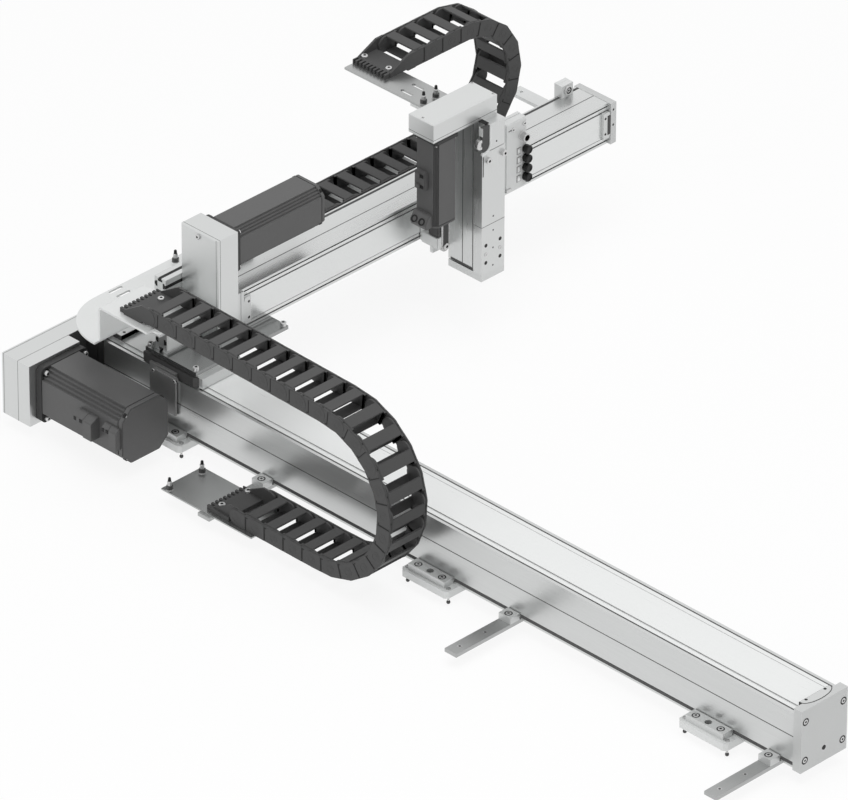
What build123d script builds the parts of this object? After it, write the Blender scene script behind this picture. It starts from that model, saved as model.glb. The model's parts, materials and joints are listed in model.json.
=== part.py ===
from build123d import *
import math
import os
from dataclasses import dataclass

os.makedirs("parts", exist_ok=True)

# All sizes are in millimetres. X runs along the base axis, Y along the cantilever axis, Z up.
# The origin is the centre of the foot bolt pattern, on the underside of the foot plates.

# Clearances
sliding_gap = 0.3
running_gap = 0.05
thread_gap = 0.5
cut = 1.0

# Sheet and plate thicknesses
bracket_sheet = 3.0
tray_sheet = 2.5
chain_tray_sheet = 2.0
chain_plate_sheet = 3.0

# Facets that stand for the round of small screws and holes
screw_facets = 8


@dataclass(frozen=True)
class AxisSize:
    """One ball-screw axis, in its own frame: x from the drive head's outer face, y across, z up."""

    length: float
    width: float
    height: float
    head: float
    head_joint: float
    cap: float
    profile_inset: float
    profile_low: float
    cover_drop: float
    wall: float
    floor: float
    slot_gap: float
    cover_thickness: float
    strip_width: float
    strip_thickness: float
    strip_clamp_length: float
    strip_clamp_width: float
    strip_clamp_rise: float
    tee_height: float
    tee_mouth: float
    tee_width: float
    tee_lip: float
    tee_depth: float
    seam_height: float
    spindle_height: float
    spindle_diameter: float
    journal_diameter: float
    bearing_depth: float
    rail_width: float
    rail_height: float
    nut_width: float
    slide_start: float
    slide_length: float
    slide_rise: float
    slide_corner: float
    bridge_thickness: float
    leg_thickness: float
    motor_offset: float
    motor_size: float
    motor_shaft: float
    motor_shaft_reach: float
    kit_thickness: float
    kit_margin: float
    kit_wall: float
    lid_thickness: float
    pulley_diameter: float
    belt_width: float
    belt_thickness: float
    pocket_gap: float
    cap_screw_side: float
    cap_screw_drop: float
    cap_screw_low: float
    cap_screw_head: float
    cap_hole_height: float
    cap_hole_diameter: float

    @property
    def profile_width(self):
        return self.width - 2 * self.profile_inset

    @property
    def profile_top(self):
        return self.height - self.cover_drop

    @property
    def slide_top(self):
        return self.height + self.slide_rise


base_axis = AxisSize(
    length=1232.0,
    width=80.0,
    height=88.0,
    head=32.0,
    head_joint=21.0,
    cap=13.0,
    profile_inset=0.3,
    profile_low=3.0,
    cover_drop=7.0,
    wall=4.2,
    floor=14.0,
    slot_gap=2.0,
    cover_thickness=4.0,
    strip_width=51.0,
    strip_thickness=1.0,
    strip_clamp_length=17.0,
    strip_clamp_width=52.0,
    strip_clamp_rise=5.0,
    tee_height=8.5,
    tee_mouth=5.0,
    tee_width=8.0,
    tee_lip=2.5,
    tee_depth=6.0,
    seam_height=47.0,
    spindle_height=44.0,
    spindle_diameter=16.0,
    journal_diameter=10.0,
    bearing_depth=8.0,
    rail_width=15.0,
    rail_height=10.0,
    nut_width=34.0,
    slide_start=104.0,
    slide_length=101.0,
    slide_rise=9.0,
    slide_corner=6.0,
    bridge_thickness=8.0,
    leg_thickness=1.4,
    motor_offset=-107.0,
    motor_size=80.0,
    motor_shaft=14.0,
    motor_shaft_reach=20.0,
    kit_thickness=29.5,
    kit_margin=51.0,
    kit_wall=6.0,
    lid_thickness=4.0,
    pulley_diameter=30.0,
    belt_width=12.0,
    belt_thickness=1.7,
    pocket_gap=4.0,
    cap_screw_side=7.3,
    cap_screw_drop=17.0,
    cap_screw_low=16.0,
    cap_screw_head=8.5,
    cap_hole_height=19.7,
    cap_hole_diameter=7.0,
)

arm_axis = AxisSize(
    length=677.0,
    width=60.0,
    height=66.0,
    head=10.0,
    head_joint=5.0,
    cap=10.0,
    profile_inset=0.3,
    profile_low=2.3,
    cover_drop=5.3,
    wall=3.4,
    floor=10.5,
    slot_gap=2.0,
    cover_thickness=3.0,
    strip_width=38.0,
    strip_thickness=0.8,
    strip_clamp_length=13.0,
    strip_clamp_width=40.0,
    strip_clamp_rise=3.8,
    tee_height=7.0,
    tee_mouth=4.0,
    tee_width=6.5,
    tee_lip=2.0,
    tee_depth=5.0,
    seam_height=35.0,
    spindle_height=32.5,
    spindle_diameter=12.0,
    journal_diameter=8.0,
    bearing_depth=6.0,
    rail_width=12.0,
    rail_height=7.0,
    nut_width=26.0,
    slide_start=325.0,
    slide_length=96.0,
    slide_rise=13.5,
    slide_corner=4.5,
    bridge_thickness=6.0,
    leg_thickness=1.4,
    motor_offset=88.0,
    motor_size=60.0,
    motor_shaft=11.0,
    motor_shaft_reach=20.0,
    kit_thickness=34.6,
    kit_margin=32.5,
    kit_wall=6.0,
    lid_thickness=4.0,
    pulley_diameter=26.0,
    belt_width=14.0,
    belt_thickness=1.7,
    pocket_gap=4.0,
    cap_screw_side=6.5,
    cap_screw_drop=14.0,
    cap_screw_low=12.0,
    cap_screw_head=6.0,
    cap_hole_height=14.0,
    cap_hole_diameter=5.0,
)

# Feet of the base axis: stations from its ends, lines from its side
foot_near_margin = 150.0
foot_far_margin = 142.0
foot_plate_length = 80.0
foot_plate_thickness = 10.0
foot_plate_tuck = 18.0
foot_plate_reach = 22.0
foot_plate_corner = 4.0
foot_bolt_reach = 10.0
foot_bolt_diameter = 9.0
foot_clamp_length = 62.0
foot_clamp_screw_pitch = 41.0
clamp_depth = 17.0
clamp_rise = 9.0
clamp_screw_head = 8.5
clamp_screw_depth = 4.5
levelling_pitch = 70.0
levelling_reach = 13.5
levelling_diameter = 6.0
levelling_tip_drop = 9.0
levelling_ball_diameter = 5.0
levelling_top_rise = 2.0

foot_station_pitch = (base_axis.length - foot_near_margin - foot_far_margin) / 2
foot_plate_inner = base_axis.width / 2 - foot_plate_tuck
foot_plate_outer = base_axis.width / 2 + foot_plate_reach
foot_bolt_line = base_axis.width / 2 + foot_bolt_reach
levelling_line = base_axis.width / 2 + levelling_reach

# Base axis and its slide
base_start = -foot_near_margin - foot_station_pitch
base_end = base_start + base_axis.length
base_floor = foot_plate_thickness - base_axis.profile_low
slide_x = base_start + base_axis.slide_start
slide_pad_rise = 4.0
slide_pad_inset = 8.0
slide_plate_thickness = 5.0
slide_plate_inset = 4.0
slide_plate_length = 90.5
slide_plate_past_arm = 60.5
slide_plate_low = base_floor + base_axis.slide_top + slide_pad_rise
slide_plate_top = slide_plate_low + slide_plate_thickness

# Arm axis, lying on its side on the slide plate
arm_start = base_axis.width / 2 + 20.0
arm_end = arm_start + arm_axis.length
arm_back = slide_x + 1.5
arm_height = slide_plate_top + arm_axis.width / 2
arm_slide_y = arm_start + arm_axis.slide_start
slide_plate_x = (slide_x + slide_plate_inset, slide_x + slide_plate_inset + slide_plate_length)
slide_plate_y = (-base_axis.width / 2, arm_start + slide_plate_past_arm)

# Screws of the plates on the base slide
carriage_screw_head = 7.0
carriage_screw_inset = 4.0

# Motors
base_motor_length = 156.0
base_motor_flange = 11.0
base_motor_mount = 21.0
base_motor_mount_reach = 36.0
arm_motor_length = 156.0
arm_motor_flange = 8.0
motor_rear_length = 22.0
motor_clearance = 2.0
motor_shaft_bore_depth = 24.0
tool_motor_size = 40.5
tool_motor_length = 128.0
tool_motor_flange = 6.0
tool_motor_shaft = 5.0

# Angled plugs on the base motor: station of the bar, its length, leg width, reach and heights
plug_heights = (-14.0, 16.0)
plug_bar_height = 10.0
plug_roof = 5.0
large_plug = (81.0, 18.0, 15.5, 15.0)
small_plug = (127.0, 12.0, 14.0, 9.0)

# Profiles on the base slide
profile_cell = 20.0
post_profile_x = (slide_x + 16.0, slide_x + 16.0 + profile_cell)
post_profile_y = (6.0 - base_axis.width / 2, arm_start - arm_axis.kit_thickness - 1.4)
back_profile_cells = 4
back_profile_y = (arm_start - 62.0, arm_start + 90.0)
back_profile_low = slide_plate_top - 2.5
profile_slot_mouth = 5.0
profile_slot_width = 8.0
profile_slot_lip = 2.0
profile_slot_depth = 5.2
profile_core = 5.0

# Energy chains
chain_height = 23.0
chain_pitch = 33.0
chain_plate = 3.0
chain_plate_gap = 0.4
chain_joint_length = 4.0
chain_end_facets = 4
chain_bar_start = 1.0
chain_bar_length = 16.5
chain_bar_thickness = 2.2
chain_foot_length = 40.0
chain_foot_thickness = 6.0
comb_teeth = 9
comb_depth = 8.0

long_chain_links = 24
long_chain_radius = 108.2
long_chain_width = 65.0
long_chain_line = -base_axis.width / 2 - 68.0
long_chain_moving = (slide_x + 116.0, slide_plate_top + 133.5)
long_chain_fixed = (slide_x + 268.0, foot_plate_thickness + chain_tray_sheet + chain_height / 2)

short_chain_links = 21
short_chain_radius = 84.6
short_chain_width = 60.0
short_chain_line = slide_x - 35.0
short_chain_moving = (arm_slide_y + 59.0, arm_height + 182.0)
short_chain_fixed = (arm_start + 149.0, arm_height + 13.0)

# Straps that carry the lower run of the long chain
strap_stations = (long_chain_fixed[0] - 47.5, 134.5, base_end - 43.0)
strap_width = 20.0
strap_thickness = 5.0
strap_end = long_chain_line - 42.0
strap_screw_lines = (long_chain_line - 26.0, long_chain_line + 18.0)
strap_screw_head = 7.0

# Angled sheet that carries the moving end of the long chain
tongue_x = (post_profile_x[1], slide_x + 123.0)
tongue_y = (long_chain_line - 42.0, long_chain_line + 33.0)
web_rise = 5.0
web_end_inset = 14.0
web_shoulder = 37.0
web_edge_height = 71.0
web_wing = 46.0
web_low = slide_plate_top + web_edge_height

# Tray under the short chain
tray_outer_x = slide_x - 88.0
tray_corner_radius = 81.0
tray_front_y = arm_start - 179.0
tray_end_y = arm_start + 420.0
tray_slot_length = 23.0
tray_slot_width = 5.0
tray_slot_y = arm_start - 67.5
tray_slot_insets = (5.5, 19.5)
tray_stud_inset = 9.0
tray_stud_y = arm_start + 32.0

# Rest for the short chain at the far end of the arm
rest_bar_width = 20.0
rest_bar_thickness = 5.0
rest_bar_x = slide_x - 82.0
rest_bar_y = arm_end - 34.0
rest_hole_diameter = 5.0
rest_hole_inset = 12.0
rest_clamp_rise = 17.0
rest_clamp_depth = 9.0

# Tray under the lower run of the long chain
floor_tray_x = (long_chain_fixed[0] - 127.0, long_chain_fixed[0] + 33.0)
floor_tray_y = (long_chain_line - 38.0, long_chain_line + 33.0)

# Lug that the end switches see
lug_x = (slide_x + 15.0, slide_x + 61.0)
lug_bar_x = (slide_x + 24.0, lug_x[1])
lug_sheet = 3.0
lug_z = (base_floor + 30.0, base_floor + 91.0)
lug_bar_height = 8.0
lug_hole_diameter = 6.0
lug_hole_rise = 13.0

# Carrier plate between the arm slide and the tool axis
carrier_back = arm_back + arm_axis.slide_top
carrier_thickness = 5.0
carrier_front = carrier_back + carrier_thickness
carrier_y = (arm_slide_y, arm_slide_y + arm_axis.slide_length)
carrier_z = (arm_height - 40.0, arm_height + 114.0)
carrier_neck_y = (arm_slide_y - 8.0, arm_slide_y + 37.0)
carrier_neck_rise = 20.0
carrier_ear_y = arm_slide_y + 156.0
carrier_ear_z = (arm_height + 2.0, arm_height + 102.0)
carrier_lip_reach = 28.0
carrier_lip_thickness = 4.0
chain_plate_slot_stations = (arm_slide_y + 3.4, arm_slide_y + 23.4)
chain_plate_slot_x = (slide_x + 25.0, slide_x + 46.0)
chain_plate_slot_width = 5.0

# Tool axis
tool_y = arm_slide_y + 48.5
tool_width = 41.0
tool_body_depth = 44.0
tool_body_z = (arm_height - 58.0, arm_height + 157.0)
tool_front = carrier_front + tool_body_depth
tool_centre_x = carrier_front + tool_body_depth / 2
tool_kit_y = (tool_y - 92.5, tool_y + tool_width / 2)
tool_kit_height = 27.0
tool_kit_chamfer = 1.5
tool_motor_y = tool_y - 68.2
tool_motor_x = carrier_front + 24.7
tool_table_depth = 15.0
tool_table_top = arm_height + 117.7
tool_rail_width = 19.0
tool_rail_depth = 7.0
yoke_thickness = 10.0
yoke_gap = 2.0
tool_rod_diameter = 16.0
tool_rod_inset = 55.0
tool_bore_inset = 30.0
tool_spindle_diameter = 8.0
tool_spindle_inset = 20.0
tool_hole_spacing = 25.5
tool_hole_diameter = 5.5
tool_hole_depth = 7.0
tool_hole_rise = 28.2
tool_head_gap = 0.8
tool_head_block_y = (tool_y - 8.5, tool_y + 19.5)
tool_table_low = tool_body_z[0] - yoke_gap

# Connector block on the arm slide
port_block_depth = 12.0
port_block_width = 37.0
port_pitch = 13.6
port_count = 4
port_low = 13.7
port_inset = 6.0
port_diameter = 12.0
port_reach = 9.0
socket_diameter = 12.0
socket_reach = 10.0
socket_inset = 9.0
socket_drop = 24.6


def block(x, y, z):
    """Box between the low and high ends of three ranges."""
    centre = ((x[0] + x[1]) / 2, (y[0] + y[1]) / 2, (z[0] + z[1]) / 2)
    return Pos(*centre) * Box(x[1] - x[0], y[1] - y[0], z[1] - z[0])


def around(middle, length):
    """Range of a length about its middle."""
    return (middle - length / 2, middle + length / 2)


def rod_x(x, y, z, diameter):
    """Cylinder along x between two stations."""
    middle = Pos((x[0] + x[1]) / 2, y, z) * Rot(0, 90, 0)
    return middle * Cylinder(diameter / 2, x[1] - x[0])


def rod_z(x, y, z, diameter):
    """Cylinder along z between two heights."""
    return Pos(x, y, (z[0] + z[1]) / 2) * Cylinder(diameter / 2, z[1] - z[0])


def facet_rod(z, diameter):
    """Faceted rod along z inside a circle of the diameter, for small parts that repeat."""
    return Pos(0, 0, z[0]) * extrude(RegularPolygon(diameter / 2, screw_facets), amount=z[1] - z[0])


def across_x(sketch, start, length):
    """Section drawn in y and z, extruded along x from a station."""
    return Pos(start, 0, 0) * extrude(Plane.YZ * sketch, amount=length)


def turned(steps):
    """Solid turned about the x axis from (start, end, diameter) steps that follow each other."""
    outline = [(steps[0][0], 0)]
    for start, end, diameter in steps:
        outline += [(start, diameter / 2), (end, diameter / 2)]
    outline.append((steps[-1][1], 0))
    return revolve(make_face(Polyline(*outline, close=True)), Axis.X, 360)


def screw_head(diameter, height):
    """Socket screw's head, standing on z = 0; its socket is too small to matter here."""
    return facet_rod((0, height), diameter)


def face_inside(lines):
    """Face inside lines and arcs that meet end to end."""
    return make_face(Wire([edge for line in lines for edge in line.edges()]))


def tee_slot(mouth, width, lip, depth):
    """T-slot that opens towards +x of its sketch, its mouth on x = 0."""
    opening = Pos(-lip / 2, 0) * Rectangle(lip, mouth)
    chamber = Pos(-(lip + depth) / 2, 0) * Rectangle(depth - lip, width)
    return opening + chamber


def base_place():
    return Location((base_start, 0, base_floor))


def arm_place():
    """The arm axis lies on its side: its x along Y, its y up, its cover towards +X."""
    return Plane(origin=(arm_back, arm_start, arm_height), x_dir=(0, 1, 0), z_dir=(1, 0, 0)).location


# Pieces of a ball-screw axis


def cover_half_width(a):
    return a.profile_width / 2 - a.wall - a.slot_gap


def cavity_floor(a):
    return a.profile_low + a.floor


def profile_span(a):
    return (a.head, a.length - a.cap)


def axis_profile(a):
    """Extruded channel: open at the top, a T-slot low on each side, a seam line above it."""
    rise = a.profile_top - a.profile_low
    section = Pos(0, a.profile_low + rise / 2) * Rectangle(a.profile_width, rise)
    depth = a.profile_top - cavity_floor(a)
    section -= Pos(0, a.profile_top - depth / 2) * Rectangle(a.profile_width - 2 * a.wall, depth)
    slot = tee_slot(a.tee_mouth, a.tee_width, a.tee_lip, a.tee_depth)
    seam_depth = a.wall / 6
    seam = Pos(-seam_depth / 2, 0) * Rectangle(seam_depth, 2 * seam_depth)
    for turn, side in ((0, 1), (180, -1)):
        face = Rot(0, 0, turn) * Pos(a.profile_width / 2, 0)
        section -= face * Pos(0, side * a.tee_height) * slot
        section -= face * Pos(0, side * a.seam_height) * seam
    low, high = profile_span(a)
    return across_x(section, low, high - low)


def axis_cover(a):
    """Cover plate between the two slots that the slide's legs run in."""
    half = cover_half_width(a)
    return block(profile_span(a), (-half, half), (a.profile_top - a.cover_thickness, a.profile_top))


def strip_top(a):
    return a.profile_top + a.strip_thickness


def axis_strip(a):
    """Steel strip on the cover plate, held at its ends by the strip clamps."""
    half = a.strip_width / 2
    return block(profile_span(a), (-half, half), (a.profile_top, strip_top(a)))


def strip_clamp(a, end, towards):
    """Clamp on the strip against a head or cap, its edge there bowed like a segment of a circle."""
    bow = a.strip_clamp_length * 0.6
    half = a.strip_clamp_width / 2
    free = a.strip_clamp_length
    outline = [
        Line((free, -half), (free, half)),
        Line((free, half), (bow, half)),
        ThreePointArc((bow, half), (0, 0), (bow, -half)),
        Line((bow, -half), (free, -half)),
    ]
    turn = Rot(0, 0, 0 if towards > 0 else 180)
    place = Pos(end, 0, strip_top(a)) * turn
    return place * extrude(face_inside(outline), amount=a.strip_clamp_rise, dir=(0, 0, 1))


def strip_clamps(a):
    low, high = profile_span(a)
    return [strip_clamp(a, low, 1), strip_clamp(a, high, -1)]


def axis_rail(a):
    """Guide rail on the channel's floor, with a ball groove in each flank."""
    section = Pos(0, cavity_floor(a) + a.rail_height / 2) * Rectangle(a.rail_width, a.rail_height)
    groove = a.rail_height / 4
    for side in (-1, 1):
        place = Pos(side * a.rail_width / 2, cavity_floor(a) + a.rail_height * 0.6)
        section -= place * Rot(0, 0, 45) * Rectangle(groove, groove)
    low, high = profile_span(a)
    return across_x(section, low, high - low)


def axis_head(a):
    """Drive head: the bearing block and the coupling block behind it, parted by a shallow groove."""
    groove = 1.0
    half = a.width / 2
    body = block((0, a.head), (-half, half), (0, a.height))
    joint = (a.head_joint - groove, a.head_joint)
    outer = block(joint, (-half - cut, half + cut), (-cut, a.height + cut))
    body -= outer - block(joint, (groove - half, half - groove), (groove, a.height - groove))
    bore = a.journal_diameter + 2 * running_gap
    return body - rod_x((-cut, a.head + cut), 0, a.spindle_height, bore)


def cap_screw_places(a):
    side = a.width / 2 - a.cap_screw_side
    for y in (-side, side):
        for z in (a.cap_screw_low, a.height - a.cap_screw_drop):
            yield y, z


def axis_cap(a):
    """End cap with the spindle's far bearing, four sunk screws and a lubrication hole."""
    low = a.length - a.cap
    half = a.width / 2
    body = block((low, a.length), (-half, half), (0, a.height))
    bearing = a.journal_diameter + 2 * running_gap
    body -= rod_x((low - cut, low + a.bearing_depth), 0, a.spindle_height, bearing)
    facing = Rot(0, 90, 0)
    for y, z in cap_screw_places(a):
        sink = facet_rod((0, a.cap / 2 + cut), a.cap_screw_head + 2 * thread_gap)
        body -= Pos(a.length - a.cap / 2, y, z) * facing * sink
    hole = facet_rod((0, a.cap / 2 + cut), a.cap_hole_diameter)
    return body - Pos(a.length - a.cap / 2, 0, a.cap_hole_height) * facing * hole


def cap_screws(a):
    head = screw_head(a.cap_screw_head, a.cap / 2 - thread_gap)
    return [Pos(a.length - a.cap / 2, y, z) * Rot(0, 90, 0) * head for y, z in cap_screw_places(a)]


def slide_seat(a):
    """Underside of the slide table, just clear of the strip."""
    return strip_top(a) + 2 * sliding_gap


def leg_inner(a):
    return cover_half_width(a) + (a.slot_gap - a.leg_thickness) / 2


def leg_outer(a):
    """Outer face of the slide's legs, which is also the edge of its table."""
    return leg_inner(a) + a.leg_thickness


def bridge_heights(a):
    """Heights of the bridge that joins the legs under the cover plate."""
    top = a.profile_top - a.cover_thickness - 3 * sliding_gap
    return (top - a.bridge_thickness, top)


def slide_span(a):
    return (a.slide_start, a.slide_start + a.slide_length)


def axis_slide(a):
    """Slide: outer table, a leg down each slot, and the bridge under the cover plate."""
    span = slide_span(a)
    outer = leg_outer(a)
    slide = block(span, (-outer, outer), (slide_seat(a), a.slide_top))
    leg_span = (span[0] + a.slide_corner, span[1] - a.slide_corner)
    slide += block(leg_span, (-outer, outer), bridge_heights(a))
    for side in (-1, 1):
        leg_y = sorted((side * leg_inner(a), side * outer))
        slide += block(leg_span, leg_y, (bridge_heights(a)[0], slide_seat(a) + cut))
    return slide


def axis_nut(a):
    """Nut housing under the bridge: threaded on the spindle and running on the guide rail."""
    middle = a.slide_start + a.slide_length / 2
    span = around(middle, a.slide_length * 0.6)
    through = (span[0] - cut, span[1] + cut)
    low = cavity_floor(a) + a.rail_height / 5
    body = block(span, (-a.nut_width / 2, a.nut_width / 2), (low, bridge_heights(a)[0]))
    body -= rod_x(through, 0, a.spindle_height, a.spindle_diameter + 2 * running_gap)
    channel = a.rail_width / 2 + sliding_gap
    rail_top = cavity_floor(a) + a.rail_height + sliding_gap
    return body - block(through, (-channel, channel), (low - cut, rail_top))


def slide_side_covers(a):
    """Side covers of the slide, their far corner cut back."""
    covers = []
    start, end = slide_span(a)
    end -= a.slide_corner
    for side in (-1, 1):
        inner = side * leg_outer(a)
        outer = side * a.width / 2
        outline = [(start, inner), (start, outer), (end - a.slide_corner, outer), (end, inner)]
        face = make_face(Polyline(*outline, close=True))
        low = slide_seat(a)
        covers.append(Pos(0, 0, low) * extrude(face, amount=a.slide_top - low, dir=(0, 0, 1)))
    return covers


def kit_pulley_span(a):
    inner = -a.kit_wall - sliding_gap * 2
    return (inner - a.belt_width, inner)


def axis_spindle(a):
    """Ball screw with its journals and the belt pulley of the drive kit."""
    pulley = kit_pulley_span(a)
    low, high = profile_span(a)
    thread = (low + 2.0, high - 2.0)
    spindle = turned(
        [
            (pulley[0], pulley[1], a.pulley_diameter),
            (pulley[1], thread[0], a.journal_diameter),
            (thread[0], thread[1], a.spindle_diameter),
            (thread[1], high + a.bearing_depth - 1.0, a.journal_diameter),
        ]
    )
    return Pos(0, 0, a.spindle_height) * spindle


def motor_pulley(a, shaft_end):
    """Motor shaft with the second pulley of the drive kit."""
    pulley = kit_pulley_span(a)
    shaft = turned([(pulley[0], pulley[1], a.pulley_diameter), (pulley[1], shaft_end, a.motor_shaft)])
    return Pos(0, a.motor_offset, a.spindle_height) * shaft


def kit_ring(a, width):
    """Stadium outline of a width around both pulleys."""
    return Pos(a.motor_offset / 2, a.spindle_height) * SlotCenterToCenter(abs(a.motor_offset), width)


def kit_belt(a):
    """Toothed belt around the two pulleys of the drive kit."""
    inner = a.pulley_diameter + 2 * sliding_gap
    ring = kit_ring(a, inner + 2 * a.belt_thickness) - kit_ring(a, inner)
    return across_x(ring, kit_pulley_span(a)[0], a.belt_width)


def kit_y_range(a):
    far = a.motor_offset + math.copysign(a.kit_margin, a.motor_offset)
    near = -math.copysign(a.width / 2, a.motor_offset)
    return sorted((far, near))


def kit_housing(a):
    """Case of the parallel drive kit, with a belt pocket that is open to the lid."""
    body = block((a.lid_thickness - a.kit_thickness, 0), kit_y_range(a), (0, a.height))
    pocket = a.pulley_diameter + 2 * a.belt_thickness + 2 * a.pocket_gap
    body -= across_x(kit_ring(a, pocket), -a.kit_thickness, a.kit_thickness - a.kit_wall)
    wall = (-a.kit_wall - cut, cut)
    body -= rod_x(wall, 0, a.spindle_height, a.journal_diameter + 2 * running_gap)
    return body - rod_x(wall, a.motor_offset, a.spindle_height, a.motor_shaft + 2 * running_gap)


def kit_lid(a):
    """Lid over the whole face of the drive kit, its rim chamfered."""
    rim = 1.0
    lid = block((-a.kit_thickness, a.lid_thickness - a.kit_thickness), kit_y_range(a), (0, a.height))
    return chamfer(lid.faces().sort_by(Axis.X)[0].edges(), rim)


# Motors


def motor_section(size):
    """Motor body: a square with cut corners and a screw channel in each."""
    body = Rectangle(size, size)
    body = chamfer(body.vertices(), size * 0.07)
    channel = size * 0.075
    for x in (-1, 1):
        for y in (-1, 1):
            body -= Pos(x * size * 0.41, y * size * 0.41) * Rectangle(channel, channel)
    return body


def motor(size, flange, length, shaft_hole, hole_depth):
    """Servo motor along +x from its flange face: flange, body with corner channels, rear cover."""
    plate = Rectangle(size, size)
    plate = chamfer(plate.vertices(), size * 0.05)
    solid = across_x(plate, 0, flange)
    body = size - motor_clearance
    solid += across_x(motor_section(body), flange, length - flange - motor_rear_length)
    rear = Rectangle(body, body)
    rear = chamfer(rear.vertices(), size * 0.19)
    solid += across_x(rear, length - motor_rear_length, motor_rear_length)
    return solid - rod_x((-cut, hole_depth), 0, 0, shaft_hole)


def motor_plug(station, bar_length, leg_width, reach):
    """Angled plug on the motor's side: a bar towards the flange and a leg down, under a sloped roof."""
    low, high = plug_heights
    leg_x = (station + bar_length, station + bar_length + leg_width)
    outline = [
        (station, high - plug_bar_height),
        (leg_x[0], high - plug_bar_height),
        (leg_x[0], low),
        (leg_x[1], low),
        (leg_x[1], high),
        (station, high),
    ]
    face = make_face(Polyline(*outline, close=True))
    plug = extrude(Plane.XZ * face, amount=reach)
    wedge = make_face(Polyline((0, high), (-reach, high), (-reach, high - plug_roof), close=True))
    return plug - across_x(wedge, station - cut, leg_x[1] - station + 2 * cut)


def base_motor():
    hole = base_axis.motor_shaft + 2 * running_gap
    size = base_axis.motor_size
    body = motor(size, base_motor_flange, base_motor_length, hole, motor_shaft_bore_depth)
    place = base_place() * Pos(base_motor_mount, base_axis.motor_offset, base_axis.spindle_height)
    side = Pos(0, (motor_clearance - size) / 2, 0)
    return [place * body] + [place * side * motor_plug(*plug) for plug in (large_plug, small_plug)]


def base_motor_mount_plate():
    """Spacer between the drive kit and the base motor's flange."""
    a = base_axis
    y = (a.motor_offset - a.kit_margin, a.motor_offset + base_motor_mount_reach)
    plate = block((0, base_motor_mount), y, (0, a.height))
    bore = a.motor_shaft + 2 * running_gap
    plate -= rod_x((-cut, base_motor_mount + cut), a.motor_offset, a.spindle_height, bore)
    return base_place() * plate


def arm_motor():
    a = arm_axis
    hole = a.motor_shaft + 2 * running_gap
    body = motor(a.motor_size, arm_motor_flange, arm_motor_length, hole, motor_shaft_bore_depth)
    return arm_place() * Pos(0, a.motor_offset, a.spindle_height) * body


# Feet and straps


def foot_stations():
    return (-foot_station_pitch, 0.0, foot_station_pitch)


def levelling_places(x, side):
    for along in (-1, 1):
        yield Pos(x + along * levelling_pitch / 2, side * levelling_line, 0)


def foot_plate(x, side):
    y = sorted((side * foot_plate_inner, side * foot_plate_outer))
    plate = block(around(x, foot_plate_length), y, (0, foot_plate_thickness))
    corner = plate.edges().filter_by(Axis.Z).sort_by(Axis.Y)
    plate = chamfer(corner[:2] if side < 0 else corner[-2:], foot_plate_corner)
    height = (-cut, foot_plate_thickness + cut)
    plate -= rod_z(x, side * foot_bolt_line, height, foot_bolt_diameter)
    for place in levelling_places(x, side):
        plate -= place * facet_rod(height, levelling_diameter + 2 * running_gap)
    return plate


def foot_plates():
    return [foot_plate(x, side) for x in foot_stations() for side in (-1, 1)]


def profile_clamp(x, side, length, screw_places, hole_places):
    """Clamp block beside the base profile, with a nose hooked into its T-slot."""
    face = base_axis.profile_width / 2 + sliding_gap
    tee = base_floor + base_axis.tee_height
    nose = base_axis.tee_mouth / 2 - sliding_gap
    y = sorted((side * (face + cut), side * (face + clamp_depth)))
    nose_y = sorted((side * (face - base_axis.tee_lip), side * (face + cut)))
    low = foot_plate_thickness
    top = low + clamp_rise
    solid = block(around(x, length), y, (low, top))
    solid += block(around(x, length), nose_y, (tee - nose, tee + nose))
    for place in screw_places:
        sink = facet_rod((top - clamp_screw_depth, top + cut), clamp_screw_head + 2 * thread_gap)
        solid -= Pos(place, side * foot_bolt_line, 0) * sink
    for place in hole_places:
        hole = facet_rod((low - cut, top + cut), foot_bolt_diameter + cut)
        solid -= Pos(place, side * foot_bolt_line, 0) * hole
    return solid


def foot_clamp_screw_places(x):
    return around(x, foot_clamp_screw_pitch)


def profile_clamps():
    """Clamps of the feet on both sides, and of the straps on the chain's side."""
    clamps = []
    for x in foot_stations():
        for side in (-1, 1):
            clamps.append(profile_clamp(x, side, foot_clamp_length, foot_clamp_screw_places(x), (x,)))
    for x in strap_stations:
        clamps.append(profile_clamp(x, -1, strap_width, (x,), ()))
    return clamps


def levelling_foot():
    """Levelling screw with a tip below that stands on the bed."""
    shank = facet_rod((-levelling_tip_drop, foot_plate_thickness + levelling_top_rise), levelling_diameter)
    ball = levelling_ball_diameter
    return shank + facet_rod((-levelling_tip_drop - ball / 2, -levelling_tip_drop), ball)


def levelling_feet():
    foot = levelling_foot()
    return [place * foot for x in foot_stations() for side in (-1, 1) for place in levelling_places(x, side)]


def strap_bars():
    """Flat bars clamped under the base profile, reaching out under the long chain."""
    bars = []
    low = foot_plate_thickness - strap_thickness
    head_floor = foot_plate_thickness - strap_screw_head / 2
    for x in strap_stations:
        bar = block(around(x, strap_width), (strap_end, -foot_plate_inner), (low, foot_plate_thickness))
        for line in strap_screw_lines:
            sink = facet_rod((head_floor, foot_plate_thickness + cut), strap_screw_head)
            bar -= Pos(x, line, 0) * sink
        bars.append(bar)
    return bars


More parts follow.
